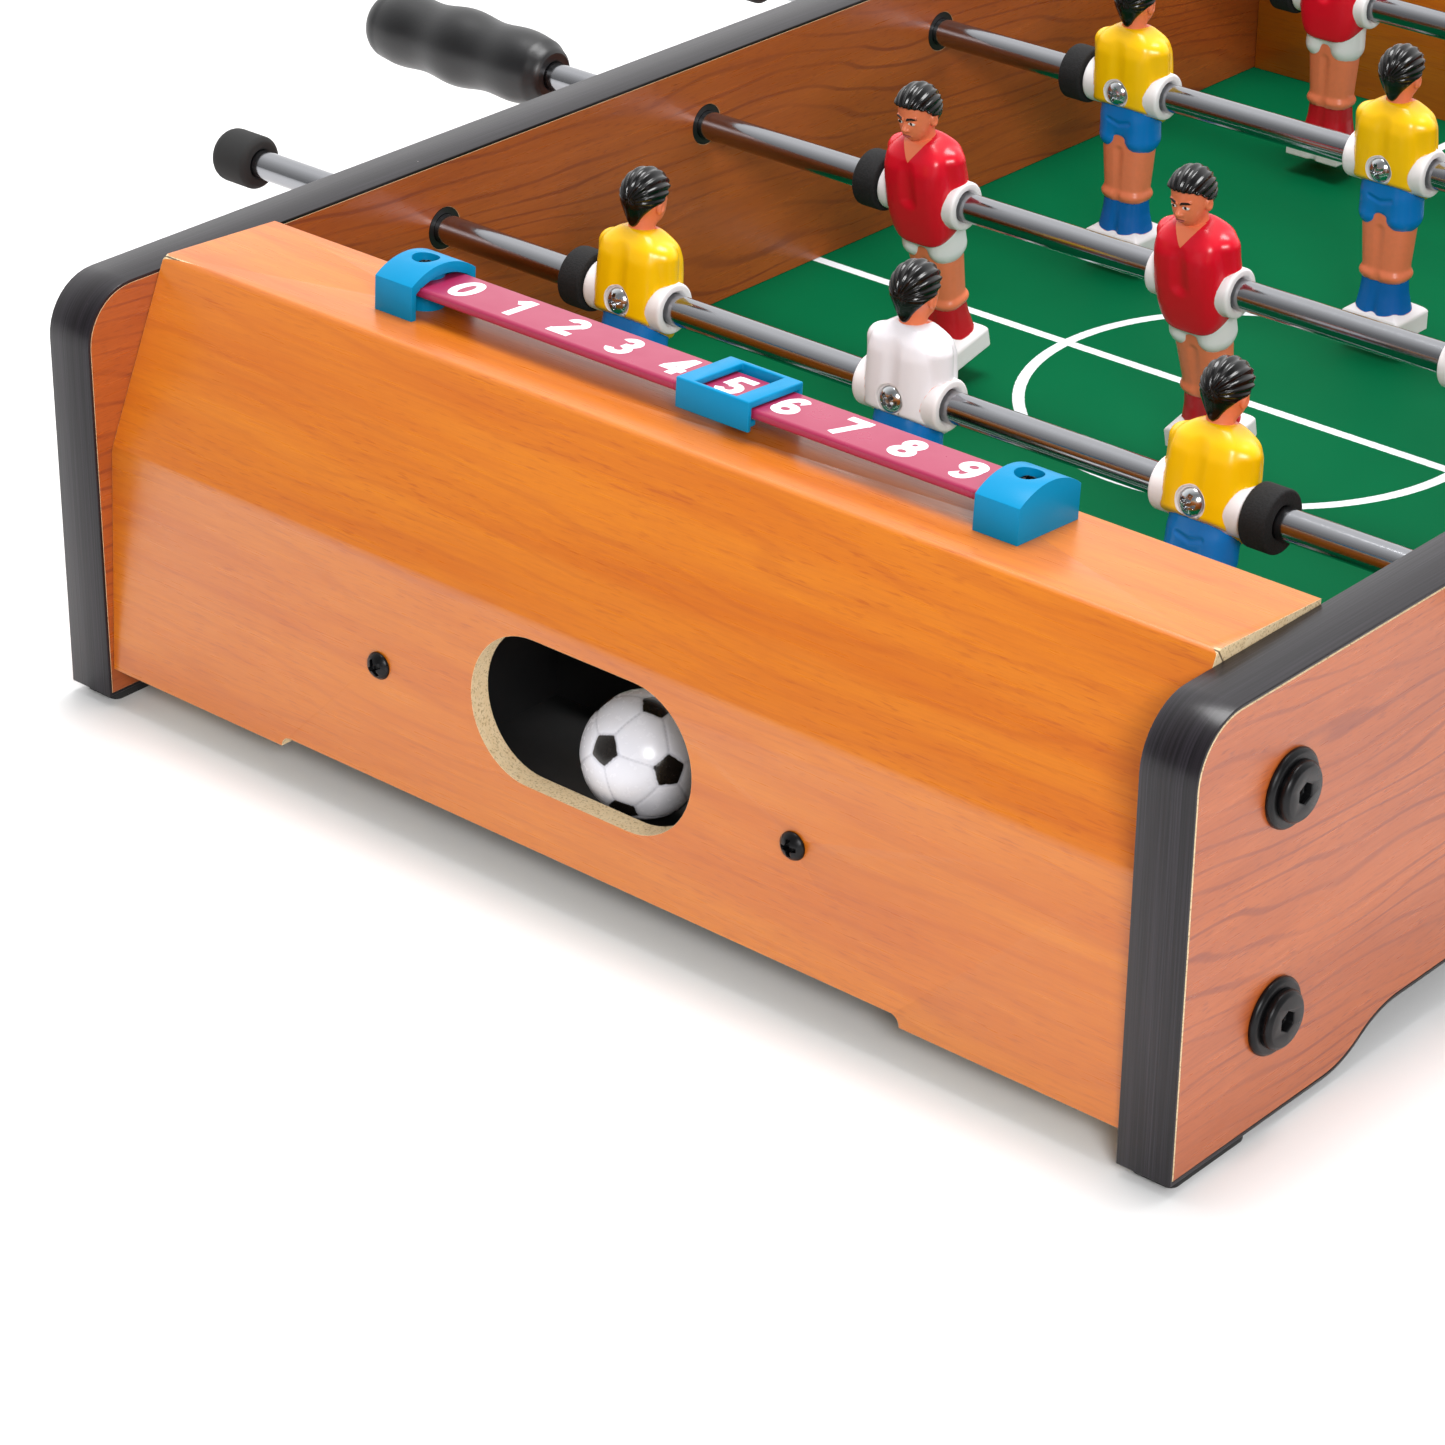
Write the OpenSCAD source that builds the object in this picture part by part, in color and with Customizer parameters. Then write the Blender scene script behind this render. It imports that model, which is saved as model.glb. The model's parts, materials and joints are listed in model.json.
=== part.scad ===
// Tabletop football game: a timber box with a green pitch, four rods that slide and
// spin, three players on each rod, a ball catcher and a score rail at each end.
// Millimetres, +Z up. X runs along the rods, Y along the length of the pitch, and the
// origin is on the ground under the middle of the table.

/* [Table] */
// Width over the two side panels
table_w = 305; // [290:1:370]
// Length of the side panels
table_l = 495; // [488:1:600]
// Height of the side panels
side_h = 96.8; // [90:0.1:120]
// Thickness of the side panels
panel_t = 12.5; // [10:0.1:16]
// Radius of the side panels' top corners
corner_r = 13; // [6:0.5:20]
// Thickness of the edge band round the side panels
band_t = 0.8; // [0.4:0.1:1.5]
// Length of the straight stretch that each side panel stands on
stand_l = 50; // [35:1:70]
// Height that the bottom edge lifts in the middle
arch_rise = 7.5; // [2:0.5:12]
// Length of the curve that lifts the bottom edge
arch_run = 25; // [16:1:40]
// Height of the rubber feet
foot_h = 2.5; // [1.5:0.1:5]
// Length of the rubber feet
foot_l = 24; // [15:1:35]
// Width of the rubber feet
foot_w = 10.5; // [7:0.1:11.5]
// Distance of a foot from the front edge of its panel
foot_inset = 2.5; // [0:0.5:10]

/* [End boxes] */
// Thickness of the folded end boards and the goal walls
board_t = 5; // [3:0.1:7]
// Gap left between a board and the panel beside it
board_fit = 0.15; // [0.05:0.05:0.5]
// Height of the end board's lower edge above the side panel's
end_lift = 6.7; // [3:0.1:12]
// Set-back of the lower edge from the side panels' front edge
low_inset = 1.5; // [0.5:0.1:4]
// Set-back of the crease below the sloping face
crease_inset = 4.8; // [2:0.1:8]
// Depth of the crease below the side panels' top edge
crease_drop = 37.4; // [25:0.1:45]
// Set-back of the top's front edge
top_front_inset = 22.9; // [15:0.1:30]
// Height of the top's front edge over the side panels
top_front_proud = 2.8; // [0:0.1:5]
// Set-back of the top's rear edge, where the pitch begins
top_back_inset = 56; // [50:0.5:70]
// Height of the top's rear edge over the side panels
top_back_proud = 0.9; // [0:0.1:4]
// Depth of the shallow cut-out in the end board's lower edge
notch_h = 2.4; // [0:0.1:4]
// Distance from the middle to each end of that cut-out
notch_half = 86; // [40:1:110]
// Width of the timber corner blocks
block_w = 22; // [18:1:30]

/* [Goals] */
// Width of the goal mouth
goal_w = 90; // [60:1:110]
// Height of the goal mouth over the pitch
goal_h = 42; // [32:1:50]
// Radius of the goal mouth's top corners
goal_r = 8; // [2:1:15]
// Width of the slot that gives back the ball
slot_w = 60.6; // [50:0.2:70]
// Height of that slot
slot_h = 33; // [28:0.5:36]
// Height of the slot's middle over the pitch
slot_over_pitch = 8; // [4:0.1:12]
// Diameter of the ball
ball_d = 27; // [22:0.5:28]
// Gap between a ball and the tray that it rolls in
ball_gap = 0.4; // [0.3:0.1:1]
// Depth of the tray's floor below the lip of the slot
lip_h = 8.5; // [3:0.1:10]
// Inside width of the tray
tray_w = 96; // [92:1:110]
// Wall thickness of the tray
tray_t = 2; // [1.2:0.1:3]
// Height of the tray's side walls
tray_h = 41; // [30:1:42]
// Distance from the middle to the screws that hold the tray
tray_screw_x = 57; // [54:0.5:70]

/* [Pitch] */
// Thickness of the pitch board
pitch_t = 3; // [2:0.1:5]
// Depth of the grooves that hold the pitch board
groove_d = 4; // [2:0.1:6]
// Clearance of the pitch board in its grooves
groove_fit = 0.15; // [0.05:0.05:0.4]

/* [Rods] */
// Diameter of the rods
rod_d = 7; // [6:0.1:8.4]
// Wall thickness of the rods
rod_wall = 1; // [0.6:0.1:1.5]
// Depth of the rods' axes below the side panels' top edge
rod_drop = 16.8; // [14:0.1:30]
// Distance from an end of the table to the nearest rod
rod_margin = 109.5; // [107:0.5:112]
// Clearance all round a rod in what it turns in
run_fit = 0.1; // [0.03:0.01:0.1]
// Clearance all round a rod in what is fixed to it
grip_fit = 0.05; // [0.02:0.01:0.1]
// Outer diameter of the bushings' sleeves
bush_d = 10; // [9.6:0.1:12]
// Diameter of the bushings' flanges
bush_flange_d = 17; // [14:0.5:20]
// Thickness of the bushings' flanges
bush_flange_t = 2; // [1:0.1:3]
// Diameter of the bumper rings
bumper_d = 14; // [12:0.1:18]
// Width of the bumper rings
bumper_w = 6.5; // [4:0.1:10]
// Gap between a bumper ring and the player beside it
bumper_gap = 0.3; // [0.3:0.1:1]
// Gap left between a bumper and the wall at the end of its travel
stop_gap = 0.4; // [0.3:0.1:1]
// Gap left between a handle and a bushing at the end of its travel
handle_gap = 2.5; // [1:0.5:6]
// Length of the handles
handle_l = 62; // [50:1:80]
// Largest diameter of the handles
handle_d = 21; // [17:0.5:26]
// Length of the safety caps
cap_l = 12; // [11:0.5:20]
// Diameter of the safety caps
cap_d = 13; // [11:0.5:16]
// How far each rod is pushed along X at rest
rod_slide = [-1.3, 8.6, 0, 0];
// How far each rod is turned at rest, in degrees
rod_turn = [-7, 13, 0, 0];

/* [Players] */
// Distance between the players on a rod
man_pitch = 78.5; // [72:0.5:82]
// Distance from the rod's axis to the sole of a foot
man_reach = 43.5; // [36:0.1:43.5]
// Gap between a foot and the pitch
foot_gap = 5.1; // [2:0.1:8]
// Width of the sleeve that a player is threaded on the rod by
sleeve_w = 23; // [20:0.5:26]
// Diameter of that sleeve
sleeve_d = 11.8; // [10.4:0.1:13]
// Width over the shoulders
shoulder_w = 21; // [16:0.5:24]
// Depth of the chest
chest_d = 14.4; // [12:0.2:18]
// Height of the crown over the rod's axis
crown_h = 30.3; // [27:0.1:36]
// Width of the head
head_w = 10.7; // [9:0.1:13]
// Width of a foot
boot_w = 16.4; // [12:0.2:20]
// Length of a foot, heel to toe
boot_l = 14; // [10:0.5:15]
// Height of a foot
boot_h = 7.5; // [5:0.5:10]

/* [Score rails] */
// Length of the rail between its caps
rail_l = 150; // [130:1:170]
// Width of the rail
rail_w = 14; // [9:0.5:15]
// Thickness of the rail
rail_t = 2.2; // [1.4:0.1:4]
// Height of the rail over the end board
rail_lift = 4.6; // [4.6:0.1:8]
// Set-back of the rail's middle from the rear edge of the top
rail_back = 13; // [12:0.5:18]
// Width of a cap along the rail
post_w = 10.8; // [10.4:0.1:18]
// Depth of a cap across the rail
post_d = 19.3; // [17:0.1:22]
// Height of a cap's straight sides
post_h = 7.6; // [7.4:0.1:14]
// Rise of a cap's arched top
post_rise = 3.2; // [1:0.1:5]
// Length of rail held in each cap
rail_grip = 2.4; // [1.5:0.1:2.8]
// Width of a slider along the rail
slider_w = 19.4; // [14:0.1:24]
// Width of each bar beside a slider's window
slider_bar = 4.2; // [3:0.1:6]
// Depth of a slider across the rail
slider_d = 16.8; // [16.2:0.1:20]
// Thickness of a slider's bars
slider_t = 1.6; // [1:0.1:3]
// Height of a slider's walls
slider_h = 6.6; // [5.5:0.1:8]
// Clearance of a slider on its rail
slider_fit = 0.3; // [0.3:0.05:0.6]
// Place of each slider at rest, counted in digits
slider_digit = [5, 2];
// Distance between two digits
digit_pitch = 14.9; // [12:0.1:15]

/* [Fasteners] */
// Distance of the side bolts from the side panels' ends
bolt_inset = 30.5; // [26:0.5:38]
// Height of the lower side bolts over the side panels' bottom edge
bolt_low = 23.8; // [18:0.1:30]
// Distance between the two bolts of a pair
bolt_pitch = 49; // [40:0.5:60]
// Diameter of the side bolts
bolt_d = 6; // [4:0.5:8]
// How far the side bolts reach past the side panels' inner face
bolt_reach = 14.7; // [8:0.1:20]
// Diameter of the bolts' heads
bolt_head_d = 12.3; // [8:0.1:14]
// Height of the bolts' heads
bolt_head_h = 2.1; // [1.6:0.1:5]
// Diameter of the washers
washer_d = 16.2; // [14:0.1:22]
// Thickness of the washers
washer_t = 1.5; // [1:0.1:3]
// Diameter of the threaded inserts
insert_d = 9; // [8:0.1:12]
// Length of the threaded inserts
insert_l = 14; // [8:1:20]
// Clearance of a fastener in its hole
hole_fit = 0.15; // [0.05:0.05:0.5]
// Diameter of the small screws' heads
screw_head_d = 6.4; // [5:0.1:7.4]
// Diameter of the small screws' shanks
screw_d = 2.8; // [2:0.1:3.6]

/* [Hidden] */
$fn = 48;

half_w = table_w / 2;
half_l = table_l / 2;
inner_x = half_w - panel_t;              // inside face of a side panel
panel_mid_x = half_w - panel_t / 2;
side_top = foot_h + side_h;
rod_z = side_top - rod_drop;
pitch_z = rod_z - man_reach - foot_gap;  // playing surface
rod_pitch = (table_l - 2 * rod_margin) / 3;
reach_out = 4;                           // how far a cutting tool runs past a face

// Front end board: outer fold line as [distance from the panel's end, height]
low_edge = [low_inset, foot_h + end_lift];
crease = [crease_inset, side_top - crease_drop];
top_front = [top_front_inset, side_top + top_front_proud];
top_back = [top_back_inset, side_top + top_back_proud];
top_angle = atan2(top_back[1] - top_front[1], top_back[0] - top_front[0]);

// Goal wall and tray
wall_face = top_back_inset;                        // side of the goal wall towards the pitch
wall_back = wall_face - board_t;
wall_top = top_back[1] - board_t / cos(top_angle) - board_fit;
pitch_end = wall_back - 1;
slot_z = pitch_z + slot_over_pitch;
lip_z = slot_z - slot_h / 2;
tray_floor = lip_z - lip_h;
ball_r = ball_d / 2;
ball_z = tray_floor + ball_gap + ball_r;

// Rod lengths, all measured from the middle of the rod
bumper_in = man_pitch + sleeve_w / 2 + bumper_gap;
bumper_out = bumper_in + bumper_w;
travel = inner_x - bumper_out - stop_gap;
handle_in = half_w + bush_flange_t + travel + handle_gap;
handle_grip = 40;                                  // rod inside a handle
cap_grip = cap_l - 2;                              // rod inside a safety cap

// Colours
cherry = "#C97A5A";
amber = "#DE8A3C";
wenge = "#3B3230";
pitch_green = "#00744A";
mdf = "#C9AE7C";
sky = "#1B86C8";
raspberry = "#C4466E";
chrome = "#C9CCD1";
coal = "#1B1B1D";

// Points of an arc about [cx, cy] from angle a to angle b
function arc(cx, cy, r, a, b, n = 10) =
  [for (i = [0:n]) [cx + r * cos(a + (b - a) * i / n), cy + r * sin(a + (b - a) * i / n)]];

// Where two lines cross, each given by a point and a direction
function cross_at(p, u, q, v) = let (w = q - p)
  p + u * (w[0] * v[1] - w[1] * v[0]) / (u[0] * v[1] - u[1] * v[0]);

function unit(v) = v / norm(v);
function inward(p, q) = let (u = unit(q - p)) [u[1], -u[0]];

// The end board's fold line moved inwards by t
function fold(t) = let (
    n1 = inward(low_edge, crease), n2 = inward(crease, top_front), n3 = inward(top_front, top_back)
  ) [
    cross_at(low_edge + n1 * t, crease - low_edge, low_edge, [1, 0]),
    cross_at(crease + n1 * t, crease - low_edge, crease + n2 * t, top_front - crease),
    cross_at(top_front + n2 * t, top_front - crease, top_front + n3 * t, top_back - top_front),
    cross_at(top_back + n3 * t, top_back - top_front, top_back, [0, 1])
  ];

// Distance from the panel's end to the inner side of the lower face, at height z
function inner_face(z) = let (f = fold(board_t), a = f[0], b = f[1])
  a[0] + (b[0] - a[0]) * (z - a[1]) / (b[1] - a[1]);

function rod_y(n) = (n - 2.5) * rod_pitch;

// ---------------------------------------------------------------- placing
// Children are drawn for the front end (end 0) or turned round to the back end (end 1)
module at_end(end) rotate([0, 0, end * 180]) children();

// Children are drawn with Y measured inwards from the front end of the table
module from_front() translate([0, -half_l, 0]) children();

// A profile of [distance from the front, height] becomes a solid of width w along X
module along_x(w) rotate([90, 0, 90]) translate([0, 0, -w / 2]) linear_extrude(w) children();

// Children are drawn on the end board's top, with the rail's middle line as X
module on_top() {
  rail_mid = top_back + (top_front - top_back) * rail_back / norm(top_back - top_front);
  from_front() translate([0, rail_mid[0], rail_mid[1]]) rotate([top_angle, 0, 0]) children();
}

// Children are drawn about the axis of rod n, as it is pushed and turned at rest
module on_rod(n) translate([rod_slide[n - 1], rod_y(n), rod_z]) rotate([rod_turn[n - 1], 0, 0]) children();

// Children follow rod n along X only
module beside_rod(n) translate([rod_slide[n - 1], rod_y(n), rod_z]) children();

// A cylinder along X from x0 to x1
module bar_x(d, x0, x1) translate([x0, 0, 0]) rotate([0, 90, 0]) cylinder(d = d, h = x1 - x0);

// ---------------------------------------------------------------- side panels
// Outline of a side panel, moved inwards by t: rounded on top, lifted in the middle below
module side_outline(t) {
  turn = 2 * atan(arch_rise / arch_run);
  bend = arch_run / 2 / sin(turn);
  l = half_l - t;
  start = half_l - stand_l;
  polygon(concat(
    [[-l, foot_h + t]],
    [for (p = arc(-start, foot_h + bend, bend - t, -90, -90 + turn)) p],
    [for (p = arc(-start + arch_run, foot_h + arch_rise - bend, bend + t, 90 + turn, 90)) p],
    [for (p = arc(start - arch_run, foot_h + arch_rise - bend, bend + t, 90, 90 - turn)) p],
    [for (p = arc(start, foot_h + bend, bend - t, -90 - turn, -90)) p],
    [[l, foot_h + t]],
    [for (p = arc(half_l - corner_r, side_top - corner_r, corner_r - t, 0, 90)) p],
    [for (p = arc(corner_r - half_l, side_top - corner_r, corner_r - t, 90, 180)) p]
  ));
}

// Places of the side bolts on the panel at +X
module at_bolts() for (end = [0, 1], k = [0, 1])
  translate([0, (1 - 2 * end) * (half_l - bolt_inset), foot_h + bolt_low + k * bolt_pitch]) children();

module side_panel(side) color(cherry) mirror([side < 0 ? 1 : 0, 0, 0]) difference() {
  translate([panel_mid_x, 0, 0]) along_x(panel_t) side_outline(band_t);
  at_bolts() bar_x(bolt_d + 2 * hole_fit, inner_x - reach_out, half_w + reach_out);
  for (n = [1:4]) translate([0, rod_y(n), rod_z])
    bar_x(bush_d + 2 * hole_fit, inner_x - reach_out, half_w + reach_out);
  translate([inner_x - reach_out, pitch_end - half_l - groove_fit, pitch_z - pitch_t - groove_fit])
    cube([groove_d + reach_out, table_l - 2 * pitch_end + 2 * groove_fit, pitch_t + 2 * groove_fit]);
}

module edge_band(side) color(wenge) mirror([side < 0 ? 1 : 0, 0, 0]) translate([panel_mid_x, 0, 0])
  difference() {
    along_x(panel_t) side_outline(0);
    along_x(panel_t + reach_out) side_outline(band_t);
  }

module left_side_panel() side_panel(-1);
module right_side_panel() side_panel(1);
module left_edge_band() edge_band(-1);
module right_edge_band() edge_band(1);

// Outline of a foot, with its corners rounded
module foot_outline() {
  r = 2;
  for (k = [0, 1]) translate([r * k, r * (1 - k)]) square([foot_w - 2 * r * k, foot_l - 2 * r * (1 - k)]);
  for (x = [r, foot_w - r], y = [r, foot_l - r]) translate([x, y]) circle(r);
}

module rubber_feet() color(coal) for (end = [0, 1], side = [-1, 1])
  at_end(end) translate([side * panel_mid_x - foot_w / 2, foot_inset - half_l, 0])
    linear_extrude(foot_h) foot_outline();

// ---------------------------------------------------------------- end boxes
// One board folded at two creases, with the ball slot, the screw holes and the notch
module end_board() color(amber) difference() {
  from_front() along_x(2 * (inner_x - board_fit)) polygon(concat(
    [low_edge, crease, top_front, top_back], [for (i = [3:-1:0]) fold(board_t)[i]]
  ));
  ball_slot();
  tray_screw_holes(screw_d + 2 * hole_fit);
  from_front() edge_notch();
  on_top() for (side = [-1, 1]) translate([side * cap_mid_x, 0, -2 * board_t])
    cylinder(d = screw_d + 2 * grip_fit, h = 3 * board_t);
}

// Distance from the middle to the middle of a rail cap
cap_mid_x = (rail_l + post_w) / 2;

// A slot with round ends, cut through the lower face
module ball_slot() from_front() translate([0, -reach_out, slot_z]) rotate([-90, 0, 0]) {
  for (side = [-1, 1]) translate([side * (slot_w - slot_h) / 2, 0, 0])
    cylinder(d = slot_h, h = 5 * board_t);
  translate([(slot_h - slot_w) / 2, -slot_h / 2, 0]) cube([slot_w - slot_h, slot_h, 5 * board_t]);
}

// Shallow cut-out with quarter-round ends along the lower edge
module edge_notch() {
  depth = 5 * board_t;
  top = low_edge[1] + notch_h;
  translate([-notch_half + notch_h, -reach_out, low_edge[1] - reach_out])
    cube([2 * (notch_half - notch_h), depth, notch_h + reach_out]);
  for (side = [-1, 1]) translate([side * (notch_half - notch_h), -reach_out, top - notch_h])
    rotate([-90, 0, 0]) cylinder(r = notch_h, h = depth);
}

// Height of the screws that hold the tray, level with the middle of its ears
tray_screw_z = slot_z - 3.8;
ear_t = 2.5;                                       // thickness of the tray's ears
ear_h = 18;                                        // height of the tray's ears

module tray_screw_holes(d) from_front() for (side = [-1, 1])
  translate([side * tray_screw_x, -reach_out, tray_screw_z]) rotate([-90, 0, 0])
    cylinder(d = d, h = 6 * board_t);

// Open-topped tray behind the slot. The end board closes its front, and its rear wall
// stays below the pitch so that a ball drops in
module ball_tray() color(coal) difference() {
  union() {
    tray_block(tray_w + 2 * tray_t, tray_floor - tray_t, tray_floor + tray_h, pitch_end);
    ear_half = tray_screw_x + 7;
    from_front() along_x(2 * ear_half) tray_ear();
  }
  tray_block(tray_w, tray_floor, tray_floor + tray_h + reach_out, pitch_end - tray_t, -reach_out);
  from_front() translate([-half_w, pitch_end - tray_t - reach_out, pitch_z - pitch_t])
    cube([table_w, tray_t + 2 * reach_out, table_w]);
  tray_screw_holes(screw_d + 2 * grip_fit);
}

// A block behind the lower face, from height a to height b, back to the distance far
module tray_block(w, a, b, far, spare = 0) from_front() along_x(w)
  polygon([[inner_face(a) + spare, a], [far, a], [far, b], [inner_face(b) + spare, b]]);

module tray_ear() {
  a = tray_screw_z - ear_h / 2;
  b = tray_screw_z + ear_h / 2;
  polygon([
    [inner_face(a), a], [inner_face(a) + ear_t, a], [inner_face(b) + ear_t, b], [inner_face(b), b]
  ]);
}

module front_end_board() at_end(0) end_board();
module back_end_board() at_end(1) end_board();
module front_ball_tray() at_end(0) ball_tray();
module back_ball_tray() at_end(1) ball_tray();

// Pan-head screw along +Y with its head's underside at the origin
module pan_screw(length, head_h = 1.8) {
  rotate([-90, 0, 0]) cylinder(d = screw_d, h = length);
  difference() {
    rotate([90, 0, 0]) cylinder(d1 = screw_head_d, d2 = 0.62 * screw_head_d, h = head_h);
    cross_recess(head_h);
  }
}

// Cross-shaped driver recess in a screw head that faces -Y
module cross_recess(head_h) for (turn = [0, 90]) rotate([0, turn, 0])
  translate([-0.26 * screw_head_d, -head_h - 1, -0.4]) cube([0.52 * screw_head_d, 1.9, 0.8]);

// The heads rest against the leaning face by their lower rims
module tray_screws() color(coal) for (end = [0, 1], side = [-1, 1]) at_end(end) from_front()
  translate([side * tray_screw_x, outer_face(tray_screw_z - screw_head_d / 2), tray_screw_z]) pan_screw(14);

// Distance from the panel's end to the outer side of the lower face, at height z
function outer_face(z) =
  low_edge[0] + (crease[0] - low_edge[0]) * (z - low_edge[1]) / (crease[1] - low_edge[1]);

// Timber blocks that fill the ends of each box and take the side bolts
module corner_blocks() color(mdf) for (end = [0, 1], side = [-1, 1]) at_end(end)
  mirror([side < 0 ? 1 : 0, 0, 0]) difference() {
    from_front() translate([inner_x - board_fit - block_w / 2, 0, 0]) along_x(block_w) block_profile();
    from_front() for (k = [0, 1]) translate([0, bolt_inset, foot_h + bolt_low + k * bolt_pitch]) {
      bar_x(bolt_d + 2 * hole_fit, inner_x - block_w - reach_out, inner_x + reach_out);
      bar_x(insert_d + 2 * grip_fit, insert_in, inner_x + reach_out);
    }
  }

// Inner end of the threaded inserts, which are sunk from the side panel's face
insert_in = inner_x - board_fit - insert_l;

module block_profile() {
  f = fold(board_t + board_fit);
  low = foot_h + end_lift + 4;
  polygon([[inner_face(low) + board_fit, low], f[1], f[2], [pitch_end, wall_top], [pitch_end, low]]);
}

module threaded_inserts() color(chrome) for (side = [-1, 1]) mirror([side < 0 ? 1 : 0, 0, 0])
  at_bolts() difference() {
    bar_x(insert_d, insert_in, insert_in + insert_l);
    bar_x(bolt_d + 2 * grip_fit, insert_in - 1, inner_x + 1);
  }

module side_bolts() color(coal) for (side = [-1, 1]) mirror([side < 0 ? 1 : 0, 0, 0])
  at_bolts() difference() {
    union() {
      bar_x(bolt_d, inner_x - bolt_reach, half_w + washer_t);
      translate([half_w + washer_t, 0, 0]) rotate([0, 90, 0]) bolt_head();
    }
    bar_x_hex(4, half_w + washer_t + bolt_head_h - 2, half_w + washer_t + bolt_head_h + 1);
  }

// Flat head with a bevelled rim
module bolt_head() rotate_extrude() {
  r = bolt_head_d / 2;
  bevel = 0.8;
  polygon([[0, 0], [r, 0], [r, bolt_head_h - bevel], [r - bevel, bolt_head_h], [0, bolt_head_h]]);
}

// Hexagonal bar along X, af across its flats
module bar_x_hex(af, x0, x1) translate([x0, 0, 0]) rotate([0, 90, 0])
  cylinder(d = af / cos(30), h = x1 - x0, $fn = 6);

module side_washers() color(coal) for (side = [-1, 1]) mirror([side < 0 ? 1 : 0, 0, 0])
  at_bolts() difference() {
    translate([half_w, 0, 0]) rotate([0, 90, 0]) washer_body();
    bar_x(bolt_d + 2 * hole_fit, half_w - 1, half_w + washer_t + 1);
  }

module washer_body() {
  slope = 0.7;
  cylinder(d = washer_d, h = washer_t - slope);
  translate([0, 0, washer_t - slope]) cylinder(d1 = washer_d, d2 = washer_d - 2 * slope, h = slope);
}

// ---------------------------------------------------------------- pitch and goals
module pitch_board() color(pitch_green)
  translate([-inner_x - groove_d + groove_fit, pitch_end - half_l, pitch_z - pitch_t])
    cube([2 * (inner_x + groove_d - groove_fit), table_l - 2 * pitch_end, pitch_t]);

module goal_wall() color(amber) difference() {
  from_front() translate([board_fit - inner_x, wall_back, pitch_z])
    cube([2 * (inner_x - board_fit), board_t, wall_top - pitch_z]);
  from_front() translate([0, wall_back - reach_out, pitch_z]) goal_mouth(board_t + 2 * reach_out);
}

// Goal opening, rounded in its top corners
module goal_mouth(depth) {
  translate([-goal_w / 2, 0, -1]) cube([goal_w, depth, goal_h - goal_r + 1]);
  translate([goal_r - goal_w / 2, 0, -1]) cube([goal_w - 2 * goal_r, depth, goal_h + 1]);
  for (side = [-1, 1]) translate([side * (goal_w / 2 - goal_r), 0, goal_h - goal_r])
    rotate([-90, 0, 0]) cylinder(r = goal_r, h = depth);
}

module front_goal_wall() at_end(0) goal_wall();
module back_goal_wall() at_end(1) goal_wall();

// A ball rests just behind the leaning lower face
face_lean = atan2(crease[0] - low_edge[0], crease[1] - low_edge[1]);
ball_y = inner_face(ball_z) + (ball_r + ball_gap) / cos(face_lean);

module ball(x) color("white") from_front() translate([x, ball_y, ball_z]) sphere(d = ball_d);
module front_ball() at_end(0) ball(1.5);
module back_ball() at_end(1) ball(-14);

// ---------------------------------------------------------------- score rails
module score_rail() color(raspberry) on_top() {
  r = 0.36 * rail_t;
  translate([0, 0, rail_lift]) rotate([90, 0, 90]) translate([0, 0, -rail_l / 2 - rail_grip])
    linear_extrude(rail_l + 2 * rail_grip) rail_section(r);
}

// Flat bar with rounded edges
module rail_section(r) {
  translate([r - rail_w / 2, 0]) square([rail_w - 2 * r, rail_t]);
  translate([-rail_w / 2, r]) square([rail_w, rail_t - 2 * r]);
  for (side = [-1, 1], z = [r, rail_t - r]) translate([side * (rail_w / 2 - r), z]) circle(r);
}

rail_top = rail_lift + rail_t;
slot_fit = 0.1;                                    // clearance of the rail in its caps

// The two caps, each a shell open towards the rail, with an arched top and a boss that
// holds the rail's end and the screw
module rail_caps() color(sky) on_top() for (side = [-1, 1]) mirror([side < 0 ? 1 : 0, 0, 0])
  difference() {
    translate([cap_mid_x, 0, 0]) along_x(post_w) cap_profile(0);
    difference() {
      translate([cap_mid_x - cap_wall, 0, -1]) along_x(post_w) cap_profile(cap_wall);
      translate([cap_mid_x, 0, -2]) cylinder(d = boss_d, h = post_h + post_rise + 4);
    }
    translate([rail_l / 2 - 1, -rail_w / 2 - slot_fit, rail_lift - slot_fit])
      cube([rail_grip + slot_fit + 1, rail_w + 2 * slot_fit, rail_t + 2 * slot_fit]);
    translate([cap_mid_x, 0, cap_seat]) cylinder(d = screw_head_d - 0.4, h = post_h + post_rise);
    translate([cap_mid_x, 0, -1]) cylinder(d = screw_d + 2 * grip_fit, h = post_h + post_rise);
  }

cap_wall = 1.4;                                    // thickness of a cap's walls
boss_d = screw_head_d + 2;                         // diameter of the boss inside a cap
cap_seat = rail_lift + rail_t + 0.6;               // height of the seat that the screw head rests on
cap_arch_r = (pow(post_d / 2, 2) + pow(post_rise, 2)) / (2 * post_rise);

// A cap's section, moved inwards by t at its sides and its arch
module cap_profile(t) intersection() {
  translate([t - post_d / 2, 0]) square([post_d - 2 * t, post_h + post_rise]);
  translate([0, post_h + post_rise - cap_arch_r]) circle(cap_arch_r - t, $fn = 96);
}

module rail_cap_screws() color(coal) for (end = [0, 1]) at_end(end) on_top() for (side = [-1, 1])
  translate([side * cap_mid_x, 0, 0]) {
    translate([0, 0, -board_t - 2]) cylinder(d = screw_d, h = cap_seat + board_t + 2);
    translate([0, 0, cap_seat]) cylinder(d1 = screw_head_d - 1.4, d2 = screw_head_d - 2.4, h = 1.8);
  }

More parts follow.
